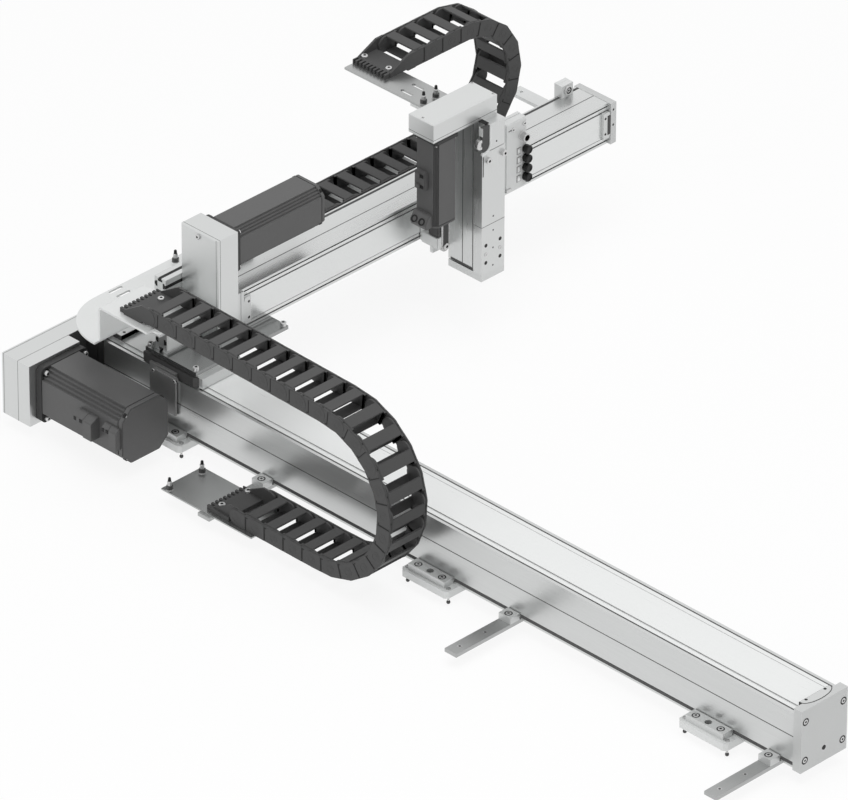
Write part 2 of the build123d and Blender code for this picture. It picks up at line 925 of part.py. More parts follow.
def base_screws():
    """Screws of the end cap, the clamps and the straps."""
    screws = [base_place() * screw for screw in cap_screws(base_axis)]
    head_floor = foot_plate_thickness + clamp_rise - clamp_screw_depth
    head = screw_head(clamp_screw_head, clamp_screw_depth - thread_gap)
    for x in foot_stations():
        for side in (-1, 1):
            for place in foot_clamp_screw_places(x):
                screws.append(Pos(place, side * foot_bolt_line, head_floor) * head)
    strap_head = screw_head(strap_screw_head - 2 * thread_gap, strap_screw_head / 2 - thread_gap)
    for x in strap_stations:
        screws.append(Pos(x, -foot_bolt_line, head_floor) * head)
        for line in strap_screw_lines:
            screws.append(Pos(x, line, foot_plate_thickness - strap_screw_head / 2) * strap_head)
    return screws


# Energy chains


def chain_line(moving, fixed, radius, links):
    """Pivots of a chain from its moving end, over the bend and back to its fixed end.

    The bend's centre lies where the two runs and the bend add up to whole links.
    """
    centre_height = fixed[1] + radius

    def route(centre):
        span = math.hypot(centre - moving[0], moving[1] - centre_height)
        run = math.sqrt(span**2 - radius**2)
        lean = math.atan2(moving[1] - centre_height, moving[0] - centre) - math.acos(radius / span)
        return run, lean

    low, high = fixed[0], fixed[0] + links * chain_pitch
    for _ in range(60):
        middle = (low + high) / 2
        run, lean = route(middle)
        total = run + radius * (lean + math.pi / 2) + middle - fixed[0]
        if total < links * chain_pitch:
            low = middle
        else:
            high = middle
    centre = (low + high) / 2
    run, lean = route(centre)
    arc = radius * (lean + math.pi / 2)
    top = (centre + radius * math.cos(lean), centre_height + radius * math.sin(lean))
    pivots = []
    for step in range(links + 1):
        along = step * chain_pitch
        if along <= run:
            share = along / run
            point = (moving[0] + (top[0] - moving[0]) * share, moving[1] + (top[1] - moving[1]) * share)
        elif along <= run + arc:
            turn = lean - (along - run) / radius
            point = (centre + radius * math.cos(turn), centre_height + radius * math.sin(turn))
        else:
            point = (centre - (along - run - arc), fixed[1])
        pivots.append(point)
    return centre, pivots


def facet_points(centre, radius, start, count):
    """Corners of a half round about a centre in x and z, from a start angle, with equal facets."""
    for facet in range(count):
        turn = math.radians(start + 180 * facet / chain_end_facets)
        yield centre + radius * math.cos(turn), radius * math.sin(turn)


def round_end(centre, start):
    return list(facet_points(centre, chain_height / 2, start, chain_end_facets + 1))


def hollow_end():
    """Hollow about the first pivot that keeps clear of the round end before it."""
    half = chain_height / 2
    facet = 180 / chain_end_facets
    radius = (half + chain_plate_gap) / math.cos(math.radians(facet / 2))
    corners = facet_points(0, radius, facet / 2 - 90, chain_end_facets)
    return [(x, max(-half, min(half, z))) for x, z in reversed(list(corners))]


def outline_face(points):
    return make_face(Polyline(*points, close=True))


def upright(face, y, thickness):
    """Plate from an outline in x and z, between y and y plus its thickness."""
    return Pos(0, y + thickness, 0) * extrude(Plane.XZ * face, amount=thickness)


def chain_layers(width):
    """Inner faces of the outer and the inner layer of side plates."""
    outer = width / 2 - chain_plate
    return outer, outer - chain_plate - chain_plate_gap


def chain_link(width):
    """Cranked link: its tongue pivots inside the link before it, its cheek over the next link's tongue."""
    outer, inner = chain_layers(width)
    middle = chain_pitch / 2
    joint = (middle, middle + chain_joint_length)
    half = chain_height / 2
    tongue = outline_face(round_end(0, 90) + [(joint[1], -half), (joint[1], half)])
    cheek = outline_face(hollow_end() + round_end(chain_pitch, -90))
    bar = (chain_bar_start, chain_bar_start + chain_bar_length)
    solid = block(bar, (-inner - cut, inner + cut), (-half, half))
    cable_half = half - chain_bar_thickness
    solid -= block((-cut, chain_pitch), (-inner, inner), (-cable_half, cable_half))
    for side in (-1, 1):
        solid += upright(tongue, inner if side > 0 else -inner - chain_plate, chain_plate)
        solid += upright(cheek, outer if side > 0 else -outer - chain_plate, chain_plate)
        solid += block(joint, sorted((side * inner, side * width / 2)), (-half, half))
    return solid


def chain_pieces(moving, fixed, radius, width, links, place):
    """The chain's links, sorted into the upper run, the bend and the lower run."""
    centre, pivots = chain_line(moving, fixed, radius, links)
    link = chain_link(width)
    runs = {"upper": [], "bend": [], "lower": []}
    for a, b in zip(pivots, pivots[1:]):
        turn = -math.degrees(math.atan2(b[1] - a[1], b[0] - a[0]))
        placed = place * Pos(a[0], 0, a[1]) * Rot(0, turn, 0) * link
        if (a[0] + b[0]) / 2 > centre:
            runs["bend"].append(placed)
        else:
            runs["upper" if a[1] > fixed[1] + radius else "lower"].append(placed)
    return runs


def chain_end(pivot, seat, width, inside):
    """End bracket: a toothed foot on its seat and two cheeks on the pivot, outside or inside the link."""
    outer, inner = chain_layers(width)
    half = width / 2
    foot_end = pivot[0] - chain_height / 2 - cut
    foot_start = foot_end - chain_foot_length
    top = seat + chain_foot_thickness
    foot = block((foot_start, foot_end), (-half, half), (seat, top))
    gap = width / (2 * comb_teeth + 1)
    for index in range(comb_teeth + 1):
        y = -half + gap * (2 * index - 0.5)
        foot -= block((foot_start - cut, foot_start + comb_depth), (y, y + gap), (seat - cut, top + cut))
    layer = inner if inside else outer
    cheek_start = foot_start + comb_depth + cut
    outline = [(cheek_start, chain_height / 2), (cheek_start, -chain_height / 2)] + round_end(pivot[0], -90)
    cheek = Pos(0, 0, pivot[1]) * upright(outline_face(outline), layer, chain_plate)
    rear = block((cheek_start - cut, foot_end - cut), (0, width), (pivot[1] - chain_height, seat))
    ramp_face = make_face(
        Polyline(
            (cheek_start - cut, top),
            (cheek_start - cut, pivot[1] + chain_height),
            (foot_end, pivot[1] + chain_height),
            (foot_end, pivot[1] + chain_height / 2),
            close=True,
        )
    )
    cheek -= rear + upright(ramp_face, 0, width)
    return foot + cheek + mirror(cheek, Plane.XZ)


def long_chain_place():
    return Location((0, long_chain_line, 0))


def short_chain_place():
    return Plane(origin=(short_chain_line, 0, 0), x_dir=(0, 1, 0), z_dir=(0, 0, 1)).location


def long_tongue_top():
    return long_chain_moving[1] - chain_height / 2 - bracket_sheet


def short_chain_seat():
    """Top of the plate that carries the short chain's moving end."""
    return short_chain_moving[1] - chain_height / 2 + 2.5


def arm_tray_top():
    """Top of the tray, just under the short chain's lower run."""
    return short_chain_fixed[1] - chain_height / 2 - sliding_gap


def floor_tray():
    """Sheet under the fixed end of the long chain, lying on the first strap."""
    low = foot_plate_thickness
    return block(floor_tray_x, floor_tray_y, (low, low + chain_tray_sheet))


# Pieces on the base slide


def slide_plate():
    """Plate on the base slide that carries the arm."""
    return block(slide_plate_x, slide_plate_y, (slide_plate_low, slide_plate_top))


def slide_pad():
    """Raised seat on top of the base slide."""
    a = base_axis
    start, end = slide_span(a)
    half = leg_outer(a)
    top = a.slide_top + slide_pad_rise
    span = (start + slide_pad_inset, end - slide_pad_inset)
    return base_place() * block(span, (-half, half), (a.slide_top, top))


def switch_lug():
    """Lug beside the base profile, hung by a clip bar from the slide's side cover."""
    side = -base_axis.width / 2
    sheet_y = (side - cut - lug_sheet, side - cut)
    plate = block(lug_x, sheet_y, lug_z)
    bar = block(lug_bar_x, (sheet_y[0], side), (lug_z[1] - lug_bar_height, lug_z[1]))
    middle = sum(lug_x) / 2
    hole = Rot(90, 0, 0) * facet_rod((-cut, lug_sheet + 2 * cut), lug_hole_diameter)
    return plate + bar - Pos(middle, side, lug_z[0] + lug_hole_rise) * hole


def profile_slot():
    """Slot of the short slotted profiles."""
    return tee_slot(profile_slot_mouth, profile_slot_width, profile_slot_lip, profile_slot_depth)


def post_profile():
    """Short slotted profile on the slide plate, under the chain tray."""
    height = arm_tray_top() - tray_sheet - slide_plate_top
    section = Rectangle(profile_cell, height)
    slot = profile_slot()
    for turn, reach in ((0, profile_cell), (180, profile_cell), (90, height), (-90, height)):
        section -= Rot(0, 0, turn) * Pos(reach / 2, 0) * slot
    solid = extrude(Plane.XZ * section, amount=post_profile_y[0] - post_profile_y[1])
    return Pos(sum(post_profile_x) / 2, post_profile_y[0], slide_plate_top + height / 2) * solid


def back_profile():
    """Upright slotted profile behind the arm, several cells high."""
    height = back_profile_cells * profile_cell
    section = Rectangle(profile_cell, height)
    slot = profile_slot()
    for cell in range(back_profile_cells):
        middle = (cell - (back_profile_cells - 1) / 2) * profile_cell
        section -= Pos(profile_cell / 2, middle) * slot
        section -= Pos(-profile_cell / 2, middle) * Rot(0, 0, 180) * slot
        if cell:
            section -= Pos(0, middle - profile_cell / 2) * Rectangle(profile_core, profile_core)
    for turn in (90, -90):
        section -= Rot(0, 0, turn) * Pos(height / 2, 0) * slot
    solid = extrude(Plane.XZ * section, amount=back_profile_y[0] - back_profile_y[1])
    return Pos(arm_back - profile_cell / 2, back_profile_y[0], back_profile_low + height / 2) * solid


def chain_bracket():
    """Angled sheet on the post profile: an upright web and a tongue under the long chain's end."""
    top = long_tongue_top()
    outer_bend = 2 * bracket_sheet
    section = angle_section(top, outer_bend)
    sheet = Pos(0, tongue_y[1], 0) * extrude(Plane.XZ * section, amount=tongue_y[1] - tongue_y[0])
    foot = slide_plate_top + web_rise
    shoulder = slide_plate_top + web_shoulder
    far = post_profile_y[1] - web_end_inset
    outline = [
        (tongue_y[0], web_low),
        (tongue_y[0], top - outer_bend),
        (tongue_y[1], top - outer_bend),
        (far, shoulder),
        (far, foot),
        (post_profile_y[0], foot),
        (tongue_y[1], shoulder),
        (tongue_y[0] + web_wing, web_low),
    ]
    web = across_x(make_face(Polyline(*outline, close=True)), tongue_x[0], bracket_sheet)
    return sheet + web


def angle_section(top, outer_bend):
    """Section of the folded sheet in x and z."""
    inner_bend = outer_bend - bracket_sheet
    x = tongue_x[0]
    arc_centre = (x + outer_bend, top - outer_bend)
    lines = [
        Line((tongue_x[1], top), (x + outer_bend, top)),
        CenterArc(arc_centre, outer_bend, 90, 90),
        Line((x, top - outer_bend), (x, web_low)),
        Line((x, web_low), (x + bracket_sheet, web_low)),
        Line((x + bracket_sheet, web_low), (x + bracket_sheet, top - outer_bend)),
        CenterArc(arc_centre, inner_bend, 90, 90),
        Line((x + outer_bend, top - bracket_sheet), (tongue_x[1], top - bracket_sheet)),
        Line((tongue_x[1], top - bracket_sheet), (tongue_x[1], top)),
    ]
    return face_inside(lines)


def arm_tray():
    """Flat tray under the short chain, with one large rounded corner and two slots."""
    top = arm_tray_top()
    inner = post_profile_x[1]
    notch = arm_back - profile_cell
    notch_y = (back_profile_y[0] - cut, back_profile_y[1] + cut)
    radius = tray_corner_radius
    lines = [
        Line((inner, tray_front_y), (tray_outer_x + radius, tray_front_y)),
        CenterArc((tray_outer_x + radius, tray_front_y + radius), radius, 180, 90),
        Line((tray_outer_x, tray_front_y + radius), (tray_outer_x, tray_end_y)),
        Line((tray_outer_x, tray_end_y), (arm_back, tray_end_y)),
        Line((arm_back, tray_end_y), (arm_back, notch_y[1])),
        Line((arm_back, notch_y[1]), (notch, notch_y[1])),
        Line((notch, notch_y[1]), (notch, notch_y[0])),
        Line((notch, notch_y[0]), (inner, notch_y[0])),
        Line((inner, notch_y[0]), (inner, tray_front_y)),
    ]
    face = face_inside(lines)
    for inset in tray_slot_insets:
        slot = Rot(0, 0, 90) * SlotOverall(tray_slot_length, tray_slot_width)
        face -= Pos(tray_outer_x + inset, tray_slot_y) * slot
    return Pos(0, 0, top - tray_sheet) * extrude(face, amount=tray_sheet, dir=(0, 0, 1))


def arm_underside():
    """Back face of the arm's profile, which faces the short chain."""
    return arm_back + arm_axis.profile_low


def rest_angle():
    """Angle at the far end of the arm: an upright leg on its back and a bar under the chain."""
    top = arm_tray_top()
    back = arm_underside()
    y = around(rest_bar_y, rest_bar_width)
    bar = block((rest_bar_x, back), y, (top - rest_bar_thickness, top))
    leg_top = arm_height + arm_axis.width / 2 + rest_clamp_rise
    leg = block((back - rest_bar_thickness, back), y, (top - rest_bar_thickness, leg_top))
    hole = facet_rod((top - rest_bar_thickness - cut, top + cut), rest_hole_diameter)
    return bar + leg - Pos(rest_bar_x + rest_hole_inset, rest_bar_y, 0) * hole


def rest_clamp():
    """Block that clamps the angle into the slot on top of the arm."""
    back = arm_underside()
    low = arm_height + arm_axis.profile_width / 2
    y = around(rest_bar_y, rest_bar_width)
    nose = around(arm_back + arm_axis.tee_height, arm_axis.tee_mouth - 2 * sliding_gap)
    body = block((back, back + rest_clamp_depth), y, (low, low + rest_clamp_rise))
    return body + block(nose, y, (low - arm_axis.tee_lip, low))


def carriage_screws():
    """Screws of the slide plate, the chain tray and the rest bar's clamp."""
    head = screw_head(carriage_screw_head, carriage_screw_inset)
    x_low, x_high = slide_plate_x[0] + carriage_screw_inset, slide_plate_x[1] - carriage_screw_inset
    y_low, y_high = slide_plate_y[0] + carriage_screw_inset, slide_plate_y[1] - carriage_screw_inset
    corners = ((x_low, y_low), (x_high, y_low), (x_high, y_high))
    screws = [Pos(x, y, slide_plate_top) * head for x, y in corners]
    screws.append(Pos(tray_outer_x + tray_stud_inset, tray_stud_y, arm_tray_top()) * head)
    clamp_face = arm_underside() + rest_clamp_depth
    clamp_middle = arm_height + (arm_axis.width + rest_clamp_rise) / 2
    screws.append(Pos(clamp_face, rest_bar_y, clamp_middle) * Rot(0, 90, 0) * head)
    return screws


# Pieces on the arm slide


def carrier_plate():
    """Upright plate on the arm slide: it carries the tool axis, the chain plate's lip and the port block."""
    x = (carrier_back, carrier_front)
    lip_top = short_chain_seat() - chain_plate_sheet
    plate = block(x, carrier_y, carrier_z)
    plate += block(x, carrier_neck_y, (carrier_z[0] + carrier_neck_rise, lip_top))
    plate += block(x, (carrier_y[1] - cut, carrier_ear_y), carrier_ear_z)
    lip_x = (carrier_back - carrier_lip_reach, carrier_front)
    return plate + block(lip_x, carrier_neck_y, (lip_top - carrier_lip_thickness, lip_top))


def chain_plate_arm():
    """Thin plate over the arm, from the carrier's lip to the short chain, with two slots."""
    top = short_chain_seat()
    x = (short_chain_line - short_chain_width / 2, carrier_front)
    plate = block(x, carrier_neck_y, (top - chain_plate_sheet, top))
    length = chain_plate_slot_x[1] - chain_plate_slot_x[0]
    for y in chain_plate_slot_stations:
        slot = extrude(SlotOverall(length, chain_plate_slot_width), amount=chain_plate_sheet + 2 * cut)
        plate -= Pos(sum(chain_plate_slot_x) / 2, y, top - chain_plate_sheet - cut) * slot
    return plate


def tool_body():
    """Body of the tool axis: guide rail and head block on its front, bore for the push rod from below."""
    body = block((carrier_front, tool_front), around(tool_y, tool_width), tool_body_z)
    rail_x = (tool_front - cut, tool_front + tool_rail_depth)
    body += block(rail_x, around(tool_y, tool_rail_width), (tool_body_z[0], tool_table_top + tool_head_gap))
    head_x = (tool_front - cut, tool_front + tool_table_depth)
    head_z = (tool_table_top + tool_head_gap, tool_body_z[1] - thread_gap)
    body += block(head_x, tool_head_block_y, head_z)
    bore = tool_rod_diameter + 2 * running_gap
    return body - rod_z(tool_centre_x, tool_y, (tool_body_z[0] - cut, tool_body_z[1] - tool_bore_inset), bore)


def tool_spindle():
    """Ball screw of the tool axis, inside the hollow push rod."""
    z = (tool_body_z[0] + tool_spindle_inset, tool_body_z[1] - tool_bore_inset)
    return rod_z(tool_centre_x, tool_y, z, tool_spindle_diameter)


def tool_table():
    """Slide table of the tool axis: it straddles the rail and carries the tool holes."""
    low = tool_table_low
    x = (tool_front + sliding_gap, tool_front + tool_table_depth)
    table = block(x, around(tool_y, tool_width), (low, tool_table_top))
    channel_x = (x[0] - cut, tool_front + tool_rail_depth + sliding_gap)
    channel_y = around(tool_y, tool_rail_width + 2 * sliding_gap)
    table -= block(channel_x, channel_y, (low - cut, tool_table_top + cut))
    for y in around(tool_y, tool_hole_spacing):
        for z in around(low + tool_hole_rise, tool_hole_spacing):
            table -= rod_x((x[1] - tool_hole_depth, x[1] + cut), y, z, tool_hole_diameter)
    return table


def tool_yoke():
    """Yoke plate under the tool axis with the hollow push rod that drives it."""
    top = tool_table_low
    x = (carrier_front, tool_front + tool_table_depth)
    yoke = block(x, around(tool_y, tool_width), (top - yoke_thickness, top))
    rod_top = tool_body_z[1] - tool_rod_inset
    yoke += rod_z(tool_centre_x, tool_y, (top - cut, rod_top), tool_rod_diameter)
    return yoke - rod_z(tool_centre_x, tool_y, (top, rod_top + cut), tool_spindle_diameter + 2 * running_gap)


def tool_kit():
    """Drive kit on top of the tool axis, over its motor."""
    low = tool_body_z[1]
    kit = block((carrier_front, tool_front), tool_kit_y, (low, low + tool_kit_height))
    return chamfer(kit.faces().sort_by(Axis.Z)[-1].edges(), tool_kit_chamfer)


def tool_motor():
    """Tool axis motor, hanging from the drive kit."""
    body = motor(tool_motor_size, tool_motor_flange, tool_motor_length, tool_motor_shaft, cut)
    return Pos(tool_motor_x, tool_motor_y, tool_body_z[1]) * Rot(0, 90, 0) * body


def port_block():
    """Connector block on the carrier's ear, with a round socket and a row of capped ports."""
    front = carrier_front + port_block_depth
    facing = Rot(0, 90, 0)
    y = (carrier_ear_y - port_block_width, carrier_ear_y)
    solids = [block((carrier_front, front), y, carrier_ear_z)]
    cap = facet_rod((0, port_reach), port_diameter)
    for index in range(port_count):
        z = carrier_ear_z[0] + port_low + index * port_pitch
        solids.append(Pos(front, carrier_ear_y - port_inset, z) * facing * cap)
    socket = facet_rod((0, socket_reach), socket_diameter)
    solids.append(Pos(front, carrier_ear_y - socket_inset, carrier_ear_z[1] - socket_drop) * facing * socket)
    return solids


def write(name, solids):
    """One file per named piece; a piece that repeats holds its copies as separate solids."""
    if isinstance(solids, (list, tuple)):
        shape = Compound(children=[solid for item in solids for solid in item.solids()])
    else:
        shape = solids
    shape.label = name
    export_step(shape, f"parts/{name}.step")


def write_axis(prefix, a, place):
    """The pieces that both ball-screw axes have."""
    write(f"{prefix}_profile", place * axis_profile(a))
    write(f"{prefix}_cover", [place * axis_cover(a), place * axis_strip(a)])
    write(f"{prefix}_strip_clamps", [place * clamp for clamp in strip_clamps(a)])
    write(f"{prefix}_end_cap", place * axis_cap(a))
    write(f"{prefix}_drive_head", place * axis_head(a))
    write(f"{prefix}_guide_rail", place * axis_rail(a))
    write(f"{prefix}_kit_housing", [place * kit_housing(a), place * kit_lid(a)])
    write(f"{prefix}_kit_belt", place * kit_belt(a))
    write(f"{prefix}_spindle", place * axis_spindle(a))


def write_chain(prefix, moving, fixed, radius, width, links, place, seats):
    """A chain's three groups of links and its two end brackets."""
    runs = chain_pieces(moving, fixed, radius, width, links, place)
    write(f"{prefix}_upper_run", runs["upper"])
    write(f"{prefix}_bend", runs["bend"])
    write(f"{prefix}_lower_run", runs["lower"])
    write(f"{prefix}_moving_end", place * chain_end(moving, seats[0], width, False))
    write(f"{prefix}_fixed_end", place * chain_end(fixed, seats[1], width, True))


def main():
    base = base_place()
    arm = arm_place()
    write_axis("x", base_axis, base)
    write_axis("y", arm_axis, arm)
    write("x_motor_mount", base_motor_mount_plate())
    write("x_motor_pulley", base * motor_pulley(base_axis, base_motor_mount + base_axis.motor_shaft_reach))
    write("y_motor_pulley", arm * motor_pulley(arm_axis, arm_axis.motor_shaft_reach))
    write("x_motor", base_motor())
    write("y_motor", arm_motor())

    write("foot_plates", foot_plates())
    write("profile_clamps", profile_clamps())
    write("levelling_feet", levelling_feet())
    write("strap_bars", strap_bars())
    write("base_screws", base_screws())
    write("x_chain_tray", floor_tray())

    write("x_slide", [base * axis_slide(base_axis) + slide_pad(), base * axis_nut(base_axis)])
    write("x_slide_covers", [base * side_cover for side_cover in slide_side_covers(base_axis)])
    write("cantilever_plate", slide_plate())
    write("switch_lug", switch_lug())
    write("post_profile", post_profile())
    write("back_profile", back_profile())
    write("x_chain_bracket", chain_bracket())
    write("y_chain_tray", arm_tray())
    write("y_chain_rest", [rest_angle(), rest_clamp()])
    write("carriage_screws", carriage_screws())

    arm_covers = [arm * side_cover for side_cover in slide_side_covers(arm_axis)]
    write("y_slide", [arm * axis_slide(arm_axis), arm * axis_nut(arm_axis)] + arm_covers)
    write("z_carrier", carrier_plate())
    write("y_chain_plate", chain_plate_arm())
    write("z_body", tool_body())
    write("z_spindle", tool_spindle())
    write("z_kit", tool_kit())
    write("z_motor", tool_motor())
    write("z_table", tool_table())
    write("z_yoke", tool_yoke())
    write("port_block", port_block())

    write_chain(
        "x_chain",
        long_chain_moving,
        long_chain_fixed,
        long_chain_radius,
        long_chain_width,
        long_chain_links,
        long_chain_place(),
        (long_tongue_top(), foot_plate_thickness + chain_tray_sheet),
    )
    write_chain(
        "y_chain",
        short_chain_moving,
        short_chain_fixed,
        short_chain_radius,
        short_chain_width,
        short_chain_links,
        short_chain_place(),
        (short_chain_seat(), arm_tray_top()),
    )


main()
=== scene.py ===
import json
import math
from collections import namedtuple

import bmesh
import bpy
from mathutils import Matrix, Vector


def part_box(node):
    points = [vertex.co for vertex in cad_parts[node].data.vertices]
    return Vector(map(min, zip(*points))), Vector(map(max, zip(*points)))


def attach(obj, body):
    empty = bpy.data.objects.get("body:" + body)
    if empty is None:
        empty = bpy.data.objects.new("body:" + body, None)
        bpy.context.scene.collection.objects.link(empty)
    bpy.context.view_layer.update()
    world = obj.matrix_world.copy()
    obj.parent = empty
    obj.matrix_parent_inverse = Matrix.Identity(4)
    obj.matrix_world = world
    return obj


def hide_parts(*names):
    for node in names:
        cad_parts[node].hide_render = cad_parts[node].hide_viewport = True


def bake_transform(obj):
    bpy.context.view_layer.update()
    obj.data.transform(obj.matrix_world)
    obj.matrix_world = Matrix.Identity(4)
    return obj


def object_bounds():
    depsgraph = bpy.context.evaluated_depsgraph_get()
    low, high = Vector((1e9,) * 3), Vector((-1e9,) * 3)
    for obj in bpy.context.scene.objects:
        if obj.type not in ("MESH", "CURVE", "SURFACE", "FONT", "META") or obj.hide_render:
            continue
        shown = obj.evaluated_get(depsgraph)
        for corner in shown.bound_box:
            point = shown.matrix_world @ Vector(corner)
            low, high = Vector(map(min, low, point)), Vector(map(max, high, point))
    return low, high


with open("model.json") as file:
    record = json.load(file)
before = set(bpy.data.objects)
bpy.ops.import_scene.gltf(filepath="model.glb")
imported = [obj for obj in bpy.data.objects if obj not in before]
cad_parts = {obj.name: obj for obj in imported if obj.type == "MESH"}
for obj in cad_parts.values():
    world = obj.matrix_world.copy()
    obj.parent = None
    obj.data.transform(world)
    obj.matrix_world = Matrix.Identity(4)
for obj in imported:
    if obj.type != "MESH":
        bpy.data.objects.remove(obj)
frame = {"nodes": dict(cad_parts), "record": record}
cad_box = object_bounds()
nodes = frame["nodes"]
record = frame["record"]

mm = 0.001

# Materials
neutral = (1.0, 1.0, 1.0)
cool = (0.985, 1.0, 0.995)
display_gamma = 2.2

# Share of the grain's scale along each axis
even = (1.0, 1.0, 1.0)
along_x = (0.02, 1.0, 1.0)
along_y = (1.0, 0.02, 1.0)
along_z = (1.0, 1.0, 0.02)

fine_detail, broad_detail = 4.0, 2.0
fine_share, broad_share = 0.6, 0.4
broad_cell = 40
ramp_ends = (0.3, 0.7)
relief_depth = 0.2 * mm


def link(tree, source, target):
    tree.links.new(source, target)


def calculate(tree, operation, *values):
    """Result of a math node whose inputs are sockets or numbers."""
    node = tree.nodes.new("ShaderNodeMath")
    node.operation = operation
    for socket, value in zip(node.inputs, values):
        if isinstance(value, float):
            socket.default_value = value
        else:
            link(tree, value, socket)
    return node.outputs["Value"]


def noise(tree, place, scale, detail):
    node = tree.nodes.new("ShaderNodeTexNoise")
    node.inputs["Scale"].default_value = scale
    node.inputs["Detail"].default_value = detail
    link(tree, place, node.inputs["Vector"])
    return node.outputs["Fac"]


def surface(name, grey, roughness, metallic, streaks=even, tint=cool, grain=900.0,
            contrast=0.05, bump=0.03, spread=0.08, gloss=0.5):
    """Shader with grain in its colour, roughness and bump.

    The grey is as it is seen, 0 to 255, and the grain's scale is in cells per metre.
    """
    colour = [(grey / 255) ** display_gamma * share for share in tint]
    material = bpy.data.materials.new(name)
    material.use_nodes = True
    tree = material.node_tree
    shader = tree.nodes["Principled BSDF"]
    shader.inputs["Metallic"].default_value = metallic
    shader.inputs["Specular IOR Level"].default_value = gloss
    place = tree.nodes.new("ShaderNodeTexCoord")
    stretch = tree.nodes.new("ShaderNodeMapping")
    stretch.inputs["Scale"].default_value = streaks
    link(tree, place.outputs["Object"], stretch.inputs["Vector"])
    fine = noise(tree, stretch.outputs["Vector"], grain, fine_detail)
    broad = noise(tree, stretch.outputs["Vector"], grain / broad_cell, broad_detail)
    mixed = calculate(tree, "MULTIPLY_ADD", fine, fine_share, calculate(tree, "MULTIPLY", broad, broad_share))
    tone = tree.nodes.new("ShaderNodeValToRGB")
    for end, position, change in zip(tone.color_ramp.elements, ramp_ends, (1 - contrast, 1 + contrast)):
        end.position = position
        end.color = (*(min(1.0, part * change) for part in colour), 1)
    link(tree, mixed, tone.inputs["Fac"])
    link(tree, tone.outputs["Color"], shader.inputs["Base Color"])
    rough = tree.nodes.new("ShaderNodeMapRange")
    rough.inputs["To Min"].default_value = roughness - spread
    rough.inputs["To Max"].default_value = roughness + spread
    link(tree, mixed, rough.inputs["Value"])
    link(tree, rough.outputs["Result"], shader.inputs["Roughness"])
    relief = tree.nodes.new("ShaderNodeBump")
    relief.inputs["Strength"].default_value = bump
    relief.inputs["Distance"].default_value = relief_depth
    link(tree, fine, relief.inputs["Height"])
    link(tree, relief.outputs["Normal"], shader.inputs["Normal"])
    return material


paint = {"tint": neutral, "grain": 1600.0, "contrast": 0.06, "bump": 0.12}
line_tone = {"tint": neutral, "gloss": 0.2}

anodised_x = surface("anodised_x", 209, 0.30, 0.88, along_x, contrast=0.04, bump=0.025)
anodised_y = surface("anodised_y", 212, 0.28, 0.88, along_y, contrast=0.015, bump=0.006, spread=0.03)
anodised_z = surface("anodised_z", 210, 0.28, 0.80, along_z, contrast=0.010, bump=0.005, spread=0.03)
anodised = surface("anodised", 210, 0.36, 0.60, contrast=0.03)
cap_metal = surface("cap_metal", 202, 0.40, 0.40, contrast=0.03)
cover = surface("cover", 230, 0.42, 0.15, contrast=0.015, bump=0.015)
housing = surface("housing", 212, 0.31, 0.92, contrast=0.01, bump=0.01, spread=0.04)
tool_housing = surface("tool_housing", 216, 0.32, 0.55, contrast=0.01, bump=0.01)
strip_x = surface("strip_x", 236, 0.30, 0.35, along_x, contrast=0.02)
strip_y = surface("strip_y", 224, 0.26, 0.78, along_y, contrast=0.006, bump=0.004, spread=0.03)
sheet = surface("sheet", 224, 0.40, 0.30, contrast=0.02)
ground_plate = surface("ground_plate", 154, 0.24, 0.95, contrast=0.01, bump=0.01, spread=0.04)
strap_steel = surface("strap_steel", 176, 0.32, 0.90, along_y, contrast=0.04)
floor_sheet = surface("floor_sheet", 176, 0.30, 0.90)
dark_metal = surface("dark_metal", 76, 0.40, 0.30, tint=neutral, contrast=0.10, bump=0.10, gloss=0.3)
lug_metal = surface("lug_metal", 140, 0.30, 0.45, tint=neutral, contrast=0.02, bump=0.01)
motor_paint = surface("motor_paint", 90, 0.40, 0.10, **paint, gloss=0.4)
flange_paint = surface("flange_paint", 58, 0.40, 0.10, **paint, gloss=0.3)
steel = surface("steel", 190, 0.28, 0.90, along_x, tint=neutral)
bright_steel = surface("bright_steel", 205, 0.26, 0.85, tint=neutral, contrast=0.04)
chain_plastic = surface("chain_plastic", 76, 0.50, 0.0, tint=neutral, grain=1400.0, contrast=0.06, bump=0.10,
                        gloss=0.25)
belt_rubber = surface("belt_rubber", 50, 0.70, 0.0, tint=neutral, contrast=0.10, bump=0.2)
port_plastic = surface("port_plastic", 222, 0.38, 0.05, contrast=0.015)
black = surface("black", 28, 0.45, 0.0, tint=neutral, contrast=0.10, gloss=0.3)
dark_steel = surface("dark_steel", 80, 0.35, 0.70, tint=neutral, contrast=0.08)
shadow_line = surface("shadow_line", 88, 0.60, 0.0, **line_tone)
pale_line = surface("pale_line", 160, 0.60, 0.0, **line_tone)

finish_of_slot = {
    "anodised": anodised,
    "cover": cover,
    "sheet": sheet,
    "dark_metal": dark_metal,
    "motor": motor_paint,
    "steel": steel,
    "bright_steel": bright_steel,
    "chain": chain_plastic,
    "belt": belt_rubber,
    "port": port_plastic,
}
finish_of_node = {
    "x_profile": anodised_x,
    "y_profile": anodised_y,
    "back_profile": anodised_y,
    "post_profile": anodised_y,
    "x_cover": strip_x,
    "y_cover": strip_y,
    "x_chain_tray": floor_sheet,
    "x_end_cap": cap_metal,
    "y_end_cap": cap_metal,
    "x_kit_housing": housing,
    "x_motor_mount": housing,
    "y_kit_housing": housing,
    "z_kit": tool_housing,
    "y_drive_head": anodised,
    "z_body": anodised_z,
    "z_table": anodised_z,
    "cantilever_plate": ground_plate,
    "y_chain_plate": floor_sheet,
    "strap_bars": strap_steel,
    "switch_lug": lug_metal,
}
